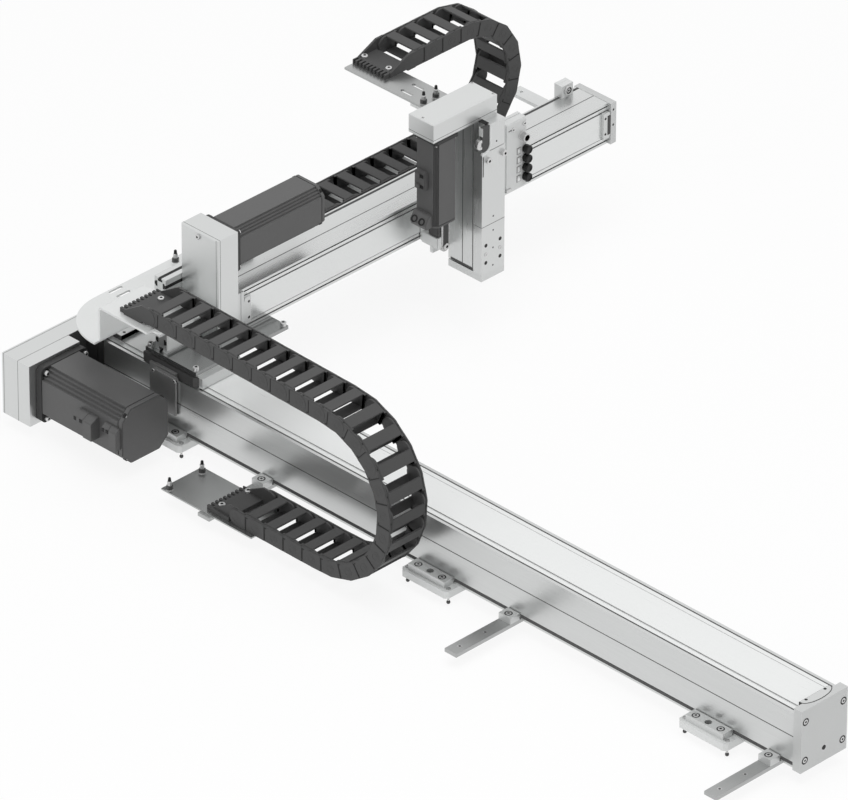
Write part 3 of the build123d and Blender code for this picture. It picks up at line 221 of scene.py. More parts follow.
slot_of_node = {part["node"]: part["material_slot"] for part in record["subparts"]}

for name, item in nodes.items():
    item.data.materials.clear()
    item.data.materials.append(finish_of_node.get(name) or finish_of_slot[slot_of_node[name]])

# Outlines and solids, in millimetres in the model's own frame
sharp_edge = 0.6
bevel_segments = 2
smooth_angle = math.radians(32)


def spot(axis, place, u, v):
    """Point at a place on an axis, with the two other coordinates in order."""
    return {"x": (place, u, v), "y": (u, place, v), "z": (u, v, place)}[axis]


def around(middle, half):
    return (middle - half, middle + half)


def circle(radius, count):
    angles = [2 * math.pi * step / count for step in range(count)]
    return [(radius * math.cos(a), radius * math.sin(a)) for a in angles]


def arc(centre, radius, start, end, steps):
    """Points of an arc between two angles in degrees."""
    angles = [math.radians(start + (end - start) * step / steps) for step in range(steps + 1)]
    return [(centre[0] + radius * math.cos(a), centre[1] + radius * math.sin(a)) for a in angles]


def quarter_turns(corner):
    """Closed outline of one corner's points and their three quarter turns."""
    outline = list(corner)
    for _ in range(3):
        corner = [(-v, u) for u, v in corner]
        outline += corner
    return outline


def cut_square(size, cut):
    """Square outline about the origin with its corners cut."""
    half, inner = size / 2, size / 2 - cut
    return quarter_turns([(half, -inner), (half, inner)])


def facing(point, direction):
    """Place whose z looks along a direction from a point."""
    return Matrix.Translation(point) @ Vector(direction).to_track_quat("Z", "Y").to_matrix().to_4x4()


def span(node):
    """A CAD node's low and high corners in millimetres."""
    return [Vector(corner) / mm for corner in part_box(node)]


class Piece:
    """One mesh made of simple solids, each with its own finish."""

    def __init__(self, name):
        self.name = name
        self.mesh = bmesh.new()
        self.finishes = []

    def add(self, part, finishes, place, bevel):
        """Takes in a solid after its edges are rounded. A face's index picks its finish."""
        bmesh.ops.recalc_face_normals(part, faces=part.faces)
        if bevel:
            edges = [edge for edge in part.edges if edge.calc_face_angle(0.0) > sharp_edge]
            bmesh.ops.bevel(part, geom=edges, offset=bevel, segments=bevel_segments, affect="EDGES",
                            clamp_overlap=True)
        for finish in finishes:
            if finish not in self.finishes:
                self.finishes.append(finish)
        for face in part.faces:
            face.material_index = self.finishes.index(finishes[face.material_index])
        self.take(part, place)

    def take(self, part, place):
        """Moves a loose mesh to its place and joins it to the piece."""
        part.transform(place)
        data = bpy.data.meshes.new("part")
        part.to_mesh(data)
        part.free()
        self.mesh.from_mesh(data)
        bpy.data.meshes.remove(data)

    def prism(self, outline, axis, low, high, finish, bevel=0.0, place=Matrix()):
        """Solid between two places on an axis, its outline in the other two coordinates."""
        part = bmesh.new()
        rings = [[part.verts.new(spot(axis, end, u, v)) for u, v in outline] for end in (low, high)]
        for ring in rings:
            part.faces.new(ring)
        for step in range(len(outline)):
            part.faces.new((rings[0][step - 1], rings[0][step], rings[1][step], rings[1][step - 1]))
        self.add(part, [finish], place, bevel)

    def box(self, x, y, z, finish, bevel=0.5, place=Matrix()):
        outline = [(x[0], y[0]), (x[1], y[0]), (x[1], y[1]), (x[0], y[1])]
        self.prism(outline, "z", z[0], z[1], finish, bevel, place)

    def lathe(self, profile, place, finish, inside=None, inside_from=None, segments=20):
        """Solid of (height, radius) steps about z. Steps from a given one on have the inside's finish."""
        part = bmesh.new()
        rings = [[part.verts.new((x, y, height)) for x, y in circle(radius, segments)]
                 for height, radius in profile]
        part.faces.new(rings[0])
        for step in range(1, len(rings)):
            for corner in range(segments):
                low, high = rings[step - 1], rings[step]
                face = part.faces.new((low[corner - 1], low[corner], high[corner], high[corner - 1]))
                face.material_index = int(inside is not None and step >= inside_from)
        part.faces.new(rings[-1]).material_index = int(inside is not None)
        self.add(part, [finish, inside or finish], place, 0.0)

    def copies(self, other, places):
        """Takes in another piece's mesh at several places."""
        self.finishes = other.finishes
        for place in places:
            self.take(other.mesh.copy(), place)

    def make(self, body=None, replaced=()):
        """Object in metres that rides on a body and stands for CAD nodes."""
        self.mesh.transform(Matrix.Scale(mm, 4))
        data = bpy.data.meshes.new(self.name)
        self.mesh.to_mesh(data)
        self.mesh.free()
        for finish in self.finishes:
            data.materials.append(finish)
        item = bpy.data.objects.new(self.name, data)
        bpy.context.scene.collection.objects.link(item)
        for polygon in data.polygons:
            polygon.use_smooth = True
        data.set_sharp_from_angle(angle=smooth_angle)
        if body:
            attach(item, body)
        if replaced:
            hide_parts(*replaced)
        return item


# Screws, studs and holes
up, down = (0, 0, 1), (0, 0, -1)
to_viewer_x, to_viewer_y = (1, 0, 0), (0, -1, 0)
sunk_radius, sunk_height, sunk_bore, ring_height = 4.0, 0.4, 5.2, 0.15

# Washer, nut, shank and tip of a stud: heights and radii, finish and number of sides
stud_parts = (
    ([(0, 5.0), (1.0, 5.0)], bright_steel, 20),
    ([(1.0, 4.6), (5.4, 4.6), (6.0, 3.8)], dark_steel, 6),
    ([(6.0, 3.0), (11.0, 3.0), (12.0, 2.2)], steel, 20),
    ([(12.0, 2.2), (16.4, 1.8), (17.0, 1.2)], black, 20),
)


def add_disc(piece, point, direction, radius, height, finish):
    piece.lathe([(0, radius), (height, radius)], facing(point, direction), finish)


def add_screw(piece, point, direction, radius, height):
    """Socket head screw on a seat."""
    edge, socket = radius * 0.14, radius * 0.42
    profile = [(0, radius), (height - edge, radius), (height, radius - edge)]
    profile += [(height, socket), (height / 2, socket)]
    piece.lathe(profile, facing(point, direction), bright_steel, black, 4)


def add_sunk_screw(piece, point):
    """Upright screw in a counterbore, whose shade is painted as a dark ring round its head."""
    add_disc(piece, point, up, sunk_bore, ring_height, black)
    add_screw(piece, point, up, sunk_radius, sunk_height)


def add_hole(piece, point, direction, radius):
    """Drilled hole as a dark disc of painted shade in its mouth, with a light chamfer round it."""
    place = facing(point, direction)
    chamfer = radius * 1.25
    piece.lathe([(-0.2, chamfer), (0.12, chamfer)], place, bright_steel)
    piece.lathe([(0.0, radius), (0.2, radius)], place, black)


def add_stud(piece, point):
    """Stud that stands up through a washer and a nut."""
    for profile, finish, segments in stud_parts:
        piece.lathe(profile, facing(point, up), finish, segments=segments)


# Base axis
cap_low, cap_high = span("x_end_cap")
cap_screw_y = 32.7
cap_screw_heights = (23.0, 78.0)
cap_screw_ring = [(0, 5.2), (0.15, 5.2), (0.15, 4.2), (0.1, 4.2)]
cap_hole = (cap_high.x, 0.2, 26.7)
strip_half, strip_edge_y, slot_edge_y = 25.5, 25.7, 34.3
seam_half_width = 26.3
clamp_drop = 5
clamp_screw_y = 16.5
side_seam, side_slot = (54.0, 0.7), (15.5, 1.9)
line_depth_share = 0.985

foot_stations = (-470.0, 0.0, 470.0)
strap_stations = (-295.5, 134.5, 569.0)
strap_hole_y = (-134.0, -90.0)
bolt_line, bolt_spacing = 50.0, 20.5
levelling_line, levelling_spacing = 53.5, 35.0
levelling_screw = [(4.5, 1.3), (11.0, 1.3), (11.2, 3.0), (22.5, 3.0), (22.9, 1.6)]
ball_radius, ball_steps = 2.6, 8
ball_start, ball_end = 0.35, 8.7
plate_top = span("foot_plates")[1].z
clamp_top = span("profile_clamps")[1].z

tray_stud_x, tray_stud_y = -366.0, (-140.0, -84.0)
tray_screw_x, tray_screw_y = -286.0, (-127.2, -82.1)
end_foot = 6.0

StripClamp = namedtuple("StripClamp", "free root bulge screws")


def clamp_outline(free, root, bulge, half):
    """Strip clamp seen from above: straight on the strip's side, bowed on the other."""
    steps = 16
    angles = [math.pi * step / steps for step in range(steps + 1)]
    bow = [(root + bulge * math.sin(a), half * math.cos(a)) for a in angles]
    return [(free, half)] + bow + [(free, -half)]


def base_end():
    """Screws and hole of the end cap, and the strip clamps with their seams."""
    piece = Piece("x_end_details")
    for y in (-cap_screw_y, cap_screw_y):
        for z in cap_screw_heights:
            # dark ring of painted shade in the counterbore round each screw
            piece.lathe(cap_screw_ring, facing((cap_high.x, y, z), to_viewer_x), black)
            add_screw(piece, (cap_high.x, y, z), to_viewer_x, 3.7, 0.3)
    add_hole(piece, cap_hole, to_viewer_x, 3.3)
    piece.make("base")
    clamps = Piece("x_strip_clamp_plates")
    low, high = span("x_strip_clamps")
    foot = high.z - clamp_drop
    far = StripClamp(high.x - 5, cap_low.x - 2, 10.0, 2.6)
    near = StripClamp(low.x + 17, low.x + 3, -6.0, -4.5)
    for free, root, bulge, screws in (far, near):
        clamps.prism(clamp_outline(free, root, bulge, strip_half), "z", foot, cap_high.z + 0.3, anodised, 0.4)
        seam = clamp_outline(free, root, bulge * 1.08, seam_half_width)
        clamps.prism(seam, "z", foot, cap_high.z + 0.1, dark_metal)
        for y in (-clamp_screw_y, clamp_screw_y):
            add_disc(clamps, (free + screws, y, cap_high.z), up, 2.0, 0.45, black)
    strip_end = (high.x - 18, high.x - 4)
    clamps.box(strip_end, around(0, strip_edge_y), (low.z - clamp_drop, low.z + 0.1), strip_x, 0.0)
    clamps.make("base", ["x_strip_clamps"])


def base_lines():
    """Dark seam and slot shadow along the sides of the profile, and the strip's edges."""
    piece = Piece("x_profile_lines")
    low, high = span("x_profile")
    strip_top = span("x_cover")[1].z
    for z, half in (side_seam, side_slot):
        for side in (low.y, high.y):
            depth = sorted((side, side * line_depth_share))
            piece.box((low.x, high.x), depth, around(z, half), shadow_line, 0.0)
    for y in (-strip_edge_y, strip_edge_y):
        piece.box((low.x, high.x), around(y, 0.3), (strip_top - 0.6, strip_top + 0.12), pale_line, 0.0)
    # painted shadow in the slots beside the strip on the top
    for y in (-slot_edge_y, slot_edge_y):
        piece.box((low.x, high.x), around(y, 0.9), (low.z + 70.0, high.z + 0.15), shadow_line, 0.0)
    piece.make("base")


def foot_details():
    """Screws of the clamp blocks, levelling screws with ball tips, studs and screws of the tray."""
    piece = Piece("foot_details")
    tip = span("levelling_feet")[0].z
    ball = []
    for step in range(ball_steps + 1):
        height = ball_radius - ball_radius * math.cos(math.pi * step / ball_steps)
        ball.append((height, ball_radius * math.sin(math.pi * (step + ball_start) / ball_end)))
    for x in foot_stations:
        for side in (-1, 1):
            for along in (-bolt_spacing, bolt_spacing):
                add_sunk_screw(piece, (x + along, side * bolt_line, clamp_top))
            add_disc(piece, (x, side * bolt_line, plate_top), up, 4.6, 0.2, black)
            for along in (-levelling_spacing, levelling_spacing):
                place = facing((x + along, side * levelling_line, tip), up)
                piece.lathe(ball, place, dark_steel, segments=12)
                piece.lathe(levelling_screw, place, steel)
    for x in strap_stations:
        add_sunk_screw(piece, (x, -bolt_line, clamp_top))
        for y in strap_hole_y:
            # hole in the strap: a steel rim, and a dark disc of painted shade in its mouth
            add_disc(piece, (x, y, plate_top), up, 3.4, 0.15, steel)
            add_disc(piece, (x, y, plate_top), up, 1.5, 0.3, dark_metal)
    piece.make("base", ["base_screws", "levelling_feet"])
    studs = Piece("x_tray_studs")
    tray_top = span("x_chain_tray")[1].z
    for y in tray_stud_y:
        add_stud(studs, (tray_stud_x, y, tray_top))
    for y in tray_screw_y:
        add_screw(studs, (tray_screw_x, y, tray_top + end_foot), up, 4.6, 3.5)
    studs.make("base")


# Motors: cuts, grooves and seats as shares of the flange's size
flange_cut, body_cut, tool_body_cut = 0.055, 0.19, 0.13
rear_share = 0.10
corner_grooves, groove_depth = 4, 0.022
body_step, shadow_step, shadow_gap = 1.0, 1.2, 0.4

Seat = namedtuple("Seat", "offset bore radius height")
front_seat, back_seat = Seat(0.415, 0.072, 0.045, 0.06), Seat(0.372, 0.055, 0.037, 0.066)
front_bore_height, back_bore_drop, back_bore_height = 0.4, 0.07, 0.05

base_motor_size, base_flange = 80.0, 11.0
arm_motor_size, arm_flange = 60.0, 8.0
tool_motor_size, tool_flange = 40.5, 6.0

Plug = namedtuple("Plug", "along bar leg reach")
base_plugs = (Plug(81.0, 18.0, 15.5, 15.0), Plug(127.0, 12.0, 14.0, 9.0))
plug_low, plug_high, plug_roof, plug_bar = -14.0, 16.0, 5.0, 10
plug_notches, notch_half, notch_drop = (0.25, 0.8), 2.4, (10.2, 5.2)


def motor_outline(size, cut):
    """Octagon with fine grooves in each of its cut corners."""
    half, inner = size / 2, size / 2 - cut
    corner = []
    steps = corner_grooves * 2
    for step in range(steps + 1):
        share = step / steps
        depth = size * groove_depth if step % 2 else 0.0
        corner.append((half - cut * share - depth, inner + cut * share - depth))
    return quarter_turns(corner)


def add_motor_screw(piece, place, radius, height):
    shoulder, socket = 0.8, radius * 0.45
    profile = [(0, radius), (height * shoulder, radius), (height, radius * shoulder)]
    profile += [(height, socket), (height * 0.4, socket)]
    piece.lathe(profile, place, bright_steel, black, 4)


def motor_shape(piece, place, size, flange, length, cut=body_cut):
    """Servo motor along z: flange with screws in its corners, ribbed body, rear cover with screws."""
    body = size - body_step
    rear = length - size * rear_share
    piece.prism(cut_square(size, size * flange_cut), "z", 0, flange, flange_paint, 0.8, place)
    piece.prism(motor_outline(body, size * cut), "z", flange, rear - shadow_gap, motor_paint, 0.0, place)
    piece.prism(cut_square(body - shadow_step, size * cut), "z", rear - shadow_gap, rear, black, 0.0, place)
    piece.prism(cut_square(body, size * cut), "z", rear, length, motor_paint, 0.9, place)
    front = (front_seat, flange, front_bore_height)
    back = (back_seat, length - size * back_bore_drop, size * back_bore_height)
    for u in (-1, 1):
        for v in (-1, 1):
            for seat, seat_z, bore_height in (front, back):
                spot_on_face = facing((u * size * seat.offset, v * size * seat.offset, seat_z), up)
                # dark disc of painted shade in the counterbore under each screw
                bore = [(0, size * seat.bore), (bore_height, size * seat.bore)]
                piece.lathe(bore, place @ spot_on_face, black)
                add_motor_screw(piece, place @ spot_on_face, size * seat.radius, size * seat.height)


def plug_shape(piece, place, plug):
    """Angled plug: a bar with two dark notches and a leg, its roof sloping.

    Its coordinates are x along the motor, z up and y outwards.
    """
    roof = [(-plug.reach, plug_high - plug_roof), (-plug.reach * 0.35, plug_high), (0, plug_high)]
    bar = [(0, plug_high - plug_bar), (-plug.reach, plug_high - plug_bar)] + roof
    bar_end = plug.along + plug.bar
    piece.prism(bar, "x", plug.along, bar_end, motor_paint, 0.5, place)
    notch_y = (-plug.reach - 0.3, -plug.reach * 0.4)
    notch_z = [plug_high - drop for drop in notch_drop]
    for notch in plug_notches:
        middle = plug.along + plug.bar * notch
        piece.box(around(middle, notch_half), notch_y, notch_z, black, 0.3, place)
    leg = [(0, plug_low), (-plug.reach, plug_low)] + roof
    piece.prism(leg, "x", bar_end, bar_end + plug.leg, motor_paint, 0.5, place)


def base_motor():
    piece = Piece("x_motor_detailed")
    low, high = span("x_motor")
    half = base_motor_size / 2
    y, z = high.y - half, (low.z + high.z) / 2
    motor_shape(piece, facing((low.x, y, z), to_viewer_x), base_motor_size, base_flange, high.x - low.x)
    side = Matrix.Translation((low.x, y - half + 1.0, z))
    for plug in base_plugs:
        plug_shape(piece, side, plug)
    piece.make("base", ["x_motor"])


def arm_motor():
    piece = Piece("y_motor_detailed")
    low, high = span("y_motor")
    place = facing(((low.x + high.x) / 2, low.y, (low.z + high.z) / 2), (0, 1, 0))
    motor_shape(piece, place, arm_motor_size, arm_flange, high.y - low.y)
    piece.make("x_carriage", ["y_motor"])


def tool_motor():
    """Tool motor with its plug on the side and the connector block with two round sockets below."""
    piece = Piece("z_motor_detailed")
    low, high = span("z_motor")
    x, y = (low.x + high.x) / 2, (low.y + high.y) / 2
    place = facing((x, y, high.z), down)
    motor_shape(piece, place, tool_motor_size, tool_flange, high.z - low.z, tool_body_cut)
    face = low.y
    plug_z, pin_heights = (225.5, 251.0), (230.5, 246.0)
    piece.box((x - 12, x + 6), (face - 6.5, face + 1), plug_z, motor_paint, 0.8)
    for z in pin_heights:
        piece.box((x - 9, x - 1), (face - 9.0, face - 6), around(z, 3.4), motor_paint, 0.7)
        piece.box((x - 2, x + 4), (face - 7.4, face - 6), around(z, 2.2), black, 0.3)
    block_low, block_bend, socket_z, block_high = 172.5, 179.5, 182.0, 191.5
    side = [(face + 2, block_low), (face - 9.5, block_low), (face - 12.0, block_bend)]
    side += [(face - 4.0, block_high), (face + 2, block_high)]
    piece.prism(side, "x", x - 15, x + 13, motor_paint, 0.8)
    socket = [(0, 5.0), (1.6, 5.0), (1.6, 3.2), (0.6, 3.2)]
    for middle in (x - 8, x + 5):
        place = facing((middle, face - 9.4, socket_z), (0, -0.83, 0.55))
        piece.lathe(socket, place, dark_metal, black, 2)
    piece.make("y_carriage", ["z_motor"])


# Energy chains: a link reaches along x from its first pivot to its second
chain_half = 11.5
chain_pitch = 33.0
side_inset = 6.4
plate_back = 3.0
bar_x, bar_thickness, bar_overlap = (1.2, 17.6), 2.3, 2.4
tongue_end, tongue_gap, tongue_inset = 20.5, 0.3, 3.4
recess_x, recess_inset = (1.0, 18.0), 0.45
step_start, outer_inset = 16.6, 0.1
groove_x, groove_foot_x, groove_inset = (15.4, 16.5), (12.6, 16.5), (0.6, 0.02)
ring_steps = [(0, 6.4), (0.35, 6.4), (0.35, 5.2), (0.1, 5.2), (0.1, 3.0), (0.35, 3.0)]
ring_sink = 0.3
latch_x, latch_inset, latch_rise = (4.4, 7.0), (2.6, 1.4), (0.4, 0.15)

# Each chain's pivots at its two ends, as places along its line and heights
Chain = namedtuple("Chain", "prefix moving fixed radius width links line along_y bodies")
long_chain = Chain("x_chain", (-400.0, 246.5), (-248.0, 23.5), 108.2, 65.0, 24, -108.0, False,
                   ("x_carriage", "base", "x_chain_loop"))
short_chain = Chain("y_chain", (444.0, 325.0), (209.0, 156.0), 84.6, 60.0, 21, -551.0, True,
                    ("y_carriage", "x_carriage", "y_chain_loop"))
search_steps = 60
end_screw_radius, end_screw_height = 4.4, 3.0
long_chain_screws = ((-430.0, -127.0), (-430.0, -90.0))
short_chain_screws = ((-574.0, 406.0), (-530.6, 406.0))
short_chain_studs = ((-447.0, 384.5), (-447.0, 406.5))


def on_side(sign, near, far):
    """Range between two distances from the middle, on one side of it."""
    return sorted((sign * near, sign * far))


def chain_link(width):
    """One cranked link: two bars between side plates with a tongue, a step, a groove and a ring."""
    piece = Piece("link")
    half = width / 2
    inner = half - side_inset
    full_height = (-chain_half, chain_half)
    tongue_low, tongue_high = -chain_half + tongue_gap, chain_half - tongue_gap
    tongue = arc((0, 0), tongue_high, 90, 270, 10) + [(tongue_end, tongue_low), (tongue_end, tongue_high)]
    plate = [(step_start, chain_half), (step_start, -chain_half)]
    plate += arc((chain_pitch, 0), chain_half, -90, 90, 12)
    foot_low, foot_high = -chain_half + 3.0, -chain_half + 4.0
    latch_z = (chain_half - latch_rise[0], chain_half + latch_rise[1])
    for sign in (-1, 1):
        bar_z = on_side(sign, chain_half, chain_half - bar_thickness)
        tongue_y = on_side(sign, half - tongue_inset, inner)
        recess_y = on_side(sign, half - plate_back, half - recess_inset)
        plate_y = on_side(sign, half - plate_back, half - outer_inset)
        step_y = on_side(sign, inner, half - plate_back)
        groove_y = on_side(sign, half - groove_inset[0], half - groove_inset[1])
        latch_y = on_side(sign, half - latch_inset[0], half - latch_inset[1])
        piece.box(bar_x, around(0, inner + bar_overlap), bar_z, chain_plastic, 0.6)
        piece.prism(tongue, "y", *tongue_y, chain_plastic, 0.3)
        piece.box(recess_x, recess_y, full_height, chain_plastic, 0.3)
        piece.prism(plate, "y", *plate_y, chain_plastic, 0.5)
        piece.box((step_start, tongue_end), step_y, full_height, chain_plastic, 0.3)
        piece.box(groove_x, groove_y, (foot_high, chain_half - 1.5), black, 0.0)
        piece.box(groove_foot_x, groove_y, (foot_low, foot_high), black, 0.0)
        ring = facing((chain_pitch, sign * (half - ring_sink), 0), (0, sign, 0))
        piece.lathe(ring_steps, ring, chain_plastic)
        piece.box(latch_x, latch_y, latch_z, black, 0.0)
    return piece


def chain_pivots(chain):
    """Bend's centre and the pivots from the moving end over the bend to the fixed end."""
    radius, fixed = chain.radius, chain.fixed
    moving = Vector(chain.moving)
    height = fixed[1] + radius
    length = chain.links * chain_pitch

    def route(centre):
        reach = math.hypot(centre - moving.x, moving.y - height)
        run = math.sqrt(reach**2 - radius**2)
        lean = math.atan2(moving.y - height, moving.x - centre) - math.acos(radius / reach)
        return run, lean, radius * (lean + math.pi / 2)

    def on_bend(centre, turn):
        return Vector((centre + radius * math.cos(turn), height + radius * math.sin(turn)))

    low, high = fixed[0], fixed[0] + length
    for _ in range(search_steps):
        middle = (low + high) / 2
        run, lean, bend = route(middle)
        short = run + bend + middle - fixed[0] < length
        low, high = (middle, high) if short else (low, middle)
    centre = (low + high) / 2
    run, lean, bend = route(centre)
    top = on_bend(centre, lean)
    pivots = []
    for step in range(chain.links + 1):
        along = step * chain_pitch
        if along <= run:
            pivots.append(moving.lerp(top, along / run))
        elif along <= run + bend:
            pivots.append(on_bend(centre, lean - (along - run) / radius))
        else:
            pivots.append(Vector((centre - (along - run - bend), fixed[1])))
    return centre, height, pivots


def add_chain(chain):
    """Links of one chain as three pieces: the upper run, the bend and the lower run."""
    carrier, ground, loop = chain.bodies
    moving, fixed, line = chain.moving, chain.fixed, chain.line
    centre, height, pivots = chain_pivots(chain)
    if chain.along_y:
        base = Matrix.Translation((line, 0, 0)) @ Matrix.Rotation(math.radians(90), 4, "Z")
    else:
        base = Matrix.Translation((0, line, 0))
    groups = {"upper_run": [], "bend": [], "lower_run": []}
    for a, b in zip(pivots, pivots[1:]):
        angle = math.atan2(b.y - a.y, b.x - a.x)
        place = base @ Matrix.Translation((a.x, 0, a.y)) @ Matrix.Rotation(-angle, 4, "Y")
        if (a.x + b.x) / 2 > centre:
            groups["bend"].append(place)
        else:
            groups["upper_run" if a.y > height else "lower_run"].append(place)
    link_piece = chain_link(chain.width)
    made = {}
    for group, places in groups.items():
        piece = Piece(f"{chain.prefix}_{group}_links")
        piece.copies(link_piece, places)
        made[group] = piece.make(loop if group == "bend" else None, [f"{chain.prefix}_{group}"])

    def point(x):
        return (line * mm, x * mm, 0.0) if chain.along_y else (x * mm, line * mm, 0.0)

    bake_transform(made["upper_run"])
    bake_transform(made["lower_run"])


def chains():
    """Both chains, with the screws of their moving ends."""
    add_chain(long_chain)
    add_chain(short_chain)
    screws = Piece("x_chain_end_screws")
    foot_top = span("x_chain_bracket")[1].z + end_foot
    for x, y in long_chain_screws:
        add_screw(screws, (x, y, foot_top), up, end_screw_radius, end_screw_height)
    screws.make("x_carriage")
    more = Piece("y_chain_end_screws")
    plate = span("y_chain_plate")[1].z
    for x, y in short_chain_screws:
        add_screw(more, (x, y, plate + end_foot), up, end_screw_radius, end_screw_height)
    for x, y in short_chain_studs:
        add_stud(more, (x, y, plate))
    more.make("y_carriage")


# Pieces on the base slide
plate_screw_inset = 4.5
arm_tray_studs = ((-595.0, 92.0), (-539.0, 92.0))
kit_screw_x, kit_screw_z = -483.4, 256.8
rest_eye_x, rest_eye_drop = -503.0, 8.5
rest_eye = [(0, 6.6), (2.2, 6.6), (2.6, 6.0), (2.6, 4.6), (1.0, 4.6)]
rest_eye_screw = [(1.0, 3.0), (2.2, 3.0), (2.2, 1.4), (1.2, 1.4)]
slot_mouth, slot_chamber, slot_lip, slot_depth = 2.4, 3.9, 2.0, 5.1
slot_recess, side_wall = 0.3, 7.6


def carriage_details():
    """Screws, studs and the clip bar of the switch lug."""
    piece = Piece("x_carriage_details")
    low, high = span("cantilever_plate")
    left, right = low.x + plate_screw_inset, high.x - plate_screw_inset
    near, far = low.y + plate_screw_inset, high.y - plate_screw_inset
    for x, y in ((left, near), (right, near), (right, far)):
        add_screw(piece, (x, y, high.z), up, 4.0, 5.5)
    for x, y in arm_tray_studs:
        add_stud(piece, (x, y, span("y_chain_tray")[1].z))
    add_screw(piece, (kit_screw_x, span("y_kit_housing")[0].y, kit_screw_z), to_viewer_y, 3.6, 2.4)
    low, high = span("y_chain_rest")
    eye = facing((rest_eye_x, (low.y + high.y) / 2, high.z - rest_eye_drop), to_viewer_x)
    piece.lathe(rest_eye, eye, bright_steel, black, 4)
    piece.lathe(rest_eye_screw, eye, bright_steel, black, 3)
    low, high = span("switch_lug")
    clip_y, clip_z = low.y - 5.0, (high.z - 10.0, high.z - 2.0)
    piece.box((low.x + 10, high.x + 7), (clip_y, low.y + 1), clip_z, lug_metal, 2.2)
    for x in (low.x + 12.5, high.x + 4.5):
        add_screw(piece, (x, clip_y, sum(clip_z) / 2), to_viewer_y, 2.6, 1.4)
    piece.make("x_carriage", ["carriage_screws"])


def slot_shadow(piece, x, z, run, x_way=0):
    """Dark filling of a T-slot with its mouth at x and z. It opens along x, or upwards where x_way is 0."""
    for half, start, end in ((slot_mouth, slot_recess, slot_lip), (slot_chamber, slot_lip, slot_depth)):
        if x_way:
            piece.box(sorted((x - x_way * start, x - x_way * end)), run, around(z, half), black, 0.0)
        else:
            piece.box(around(x, half), run, (z - end, z - start), black, 0.0)


def slotted_profiles():
    """Shadow inside the slots of the two short profiles."""
    piece = Piece("profile_slot_shadows")
    low, high = span("back_profile")
    run = (low.y - 0.1, high.y)
    cell = high.x - low.x
    for index in range(4):
        z = low.z + cell * (index + 0.5)
        slot_shadow(piece, high.x, z, run, 1)
        slot_shadow(piece, low.x, z, run, -1)
        if index:
            # painted shade in the hollow between two cells
            hollow = (low.x + side_wall, high.x - side_wall)
            piece.box(hollow, run, around(z - cell / 2, slot_mouth), black, 0.0)
    slot_shadow(piece, (low.x + high.x) / 2, high.z, run)
    low, high = span("post_profile")
    run = (low.y - 0.1, high.y)
    slot_shadow(piece, high.x, (low.z + high.z) / 2, run, 1)
    slot_shadow(piece, low.x, (low.z + high.z) / 2, run, -1)
    slot_shadow(piece, (low.x + high.x) / 2, high.z, run)
    piece.make("x_carriage")


def chain_sheet():
    """Folded sheet under the long chain's moving end: an upright web and a tongue."""
    piece = Piece("x_chain_bracket_folded")
    low, high = span("x_chain_bracket")
    thick, fold = 3.0, 6.0
    near, far = low.y, low.y + 75.0
    corner = (low.x + fold, high.z - fold)
    section = [(high.x, high.z)] + arc(corner, fold, 90, 180, 6) + arc(corner, fold - thick, 180, 90, 6)
    piece.prism(section + [(high.x, high.z - thick)], "y", near, far, sheet)
    web_low, web_step, wing = high.z - 48.0, 8.0, 46.0
    foot_near, foot_far = -34.0, 10.0
    shoulder, throat = 152.0, 9.0
    web = [(near, web_low), (near, high.z - fold), (far, high.z - fold), (far, web_low + web_step)]
    web += [(foot_near, shoulder), (foot_far, shoulder), (foot_far, low.z), (foot_near, low.z)]
    web += [(foot_near, shoulder - throat), (near + wing, web_low)]
    piece.prism(web, "x", low.x, low.x + thick, sheet)
    piece.make("x_carriage", ["x_chain_bracket"])


def chain_tray():
    """Tray under the short chain, with one large rounded corner and two slots."""
    piece = Piece("y_chain_tray_sheet")
    low, high = span("y_chain_tray")
    radius = 76.0
    front = low.y + 4.0
    step_x, step_y = -525.0, -46.0
    back = span("y_drive_head")[0].x
    notch = back - 20.0
    notch_low, notch_high = -2.5, 150.5
    slot_y, reach, slot = -8.5, 9.0, 2.5
    slots = (low.x + 5.5, low.x + 19.5)

    def slot_side(x, side):
        """Lower or upper half of a slot that lies along y."""
        bow = arc((x, slot_y + side * reach), slot, 90 - side * 90, 270 - side * 90, 8)
        return [(x + side * slot, slot_y)] + bow + [(x - side * slot, slot_y)]

    outline = [(step_x, front)] + arc((low.x + radius, front + radius), radius, 270, 180, 16)
    outline += [(low.x, slot_y)] + slot_side(slots[0], -1) + slot_side(slots[1], -1)
    outline += slot_side(slots[1], 1)[1:] + slot_side(slots[0], 1) + [(low.x, slot_y)]
    outline += [(low.x, high.y), (back, high.y), (back, notch_high), (notch, notch_high), (notch, notch_low)]
    outline += [(high.x, notch_low), (high.x, step_y), (step_x, step_y)]
    piece.prism(outline, "z", low.z, high.z, sheet)
    piece.make("x_carriage", ["y_chain_tray"])


def kit_seams():
    """Thin dark joints of the two drive kits."""
    lid, edge, proud, half = 4.0, 3.2, 0.05, 0.3
    base = Piece("x_kit_seams")
    low, high = span("x_kit_housing")
    depth, height = (low.y - proud, high.y + proud), (low.z - proud, high.z + proud)
    for x in (low.x + lid, high.x):
        base.box(around(x, half), depth, height, shadow_line, 0.0)
    base.make("base")
    arm = Piece("y_kit_seams")
    low, high = span("y_kit_housing")
    width, height = (low.x - proud, high.x + proud), (low.z, high.z + proud)
    arm.box(width, around(low.y + lid, half), height, shadow_line, 0.0)
    arm.box(around(high.x - edge, 0.25), (low.y - 0.1, low.y + 0.2), (low.z, high.z), shadow_line, 0.0)
    arm.make("x_carriage")


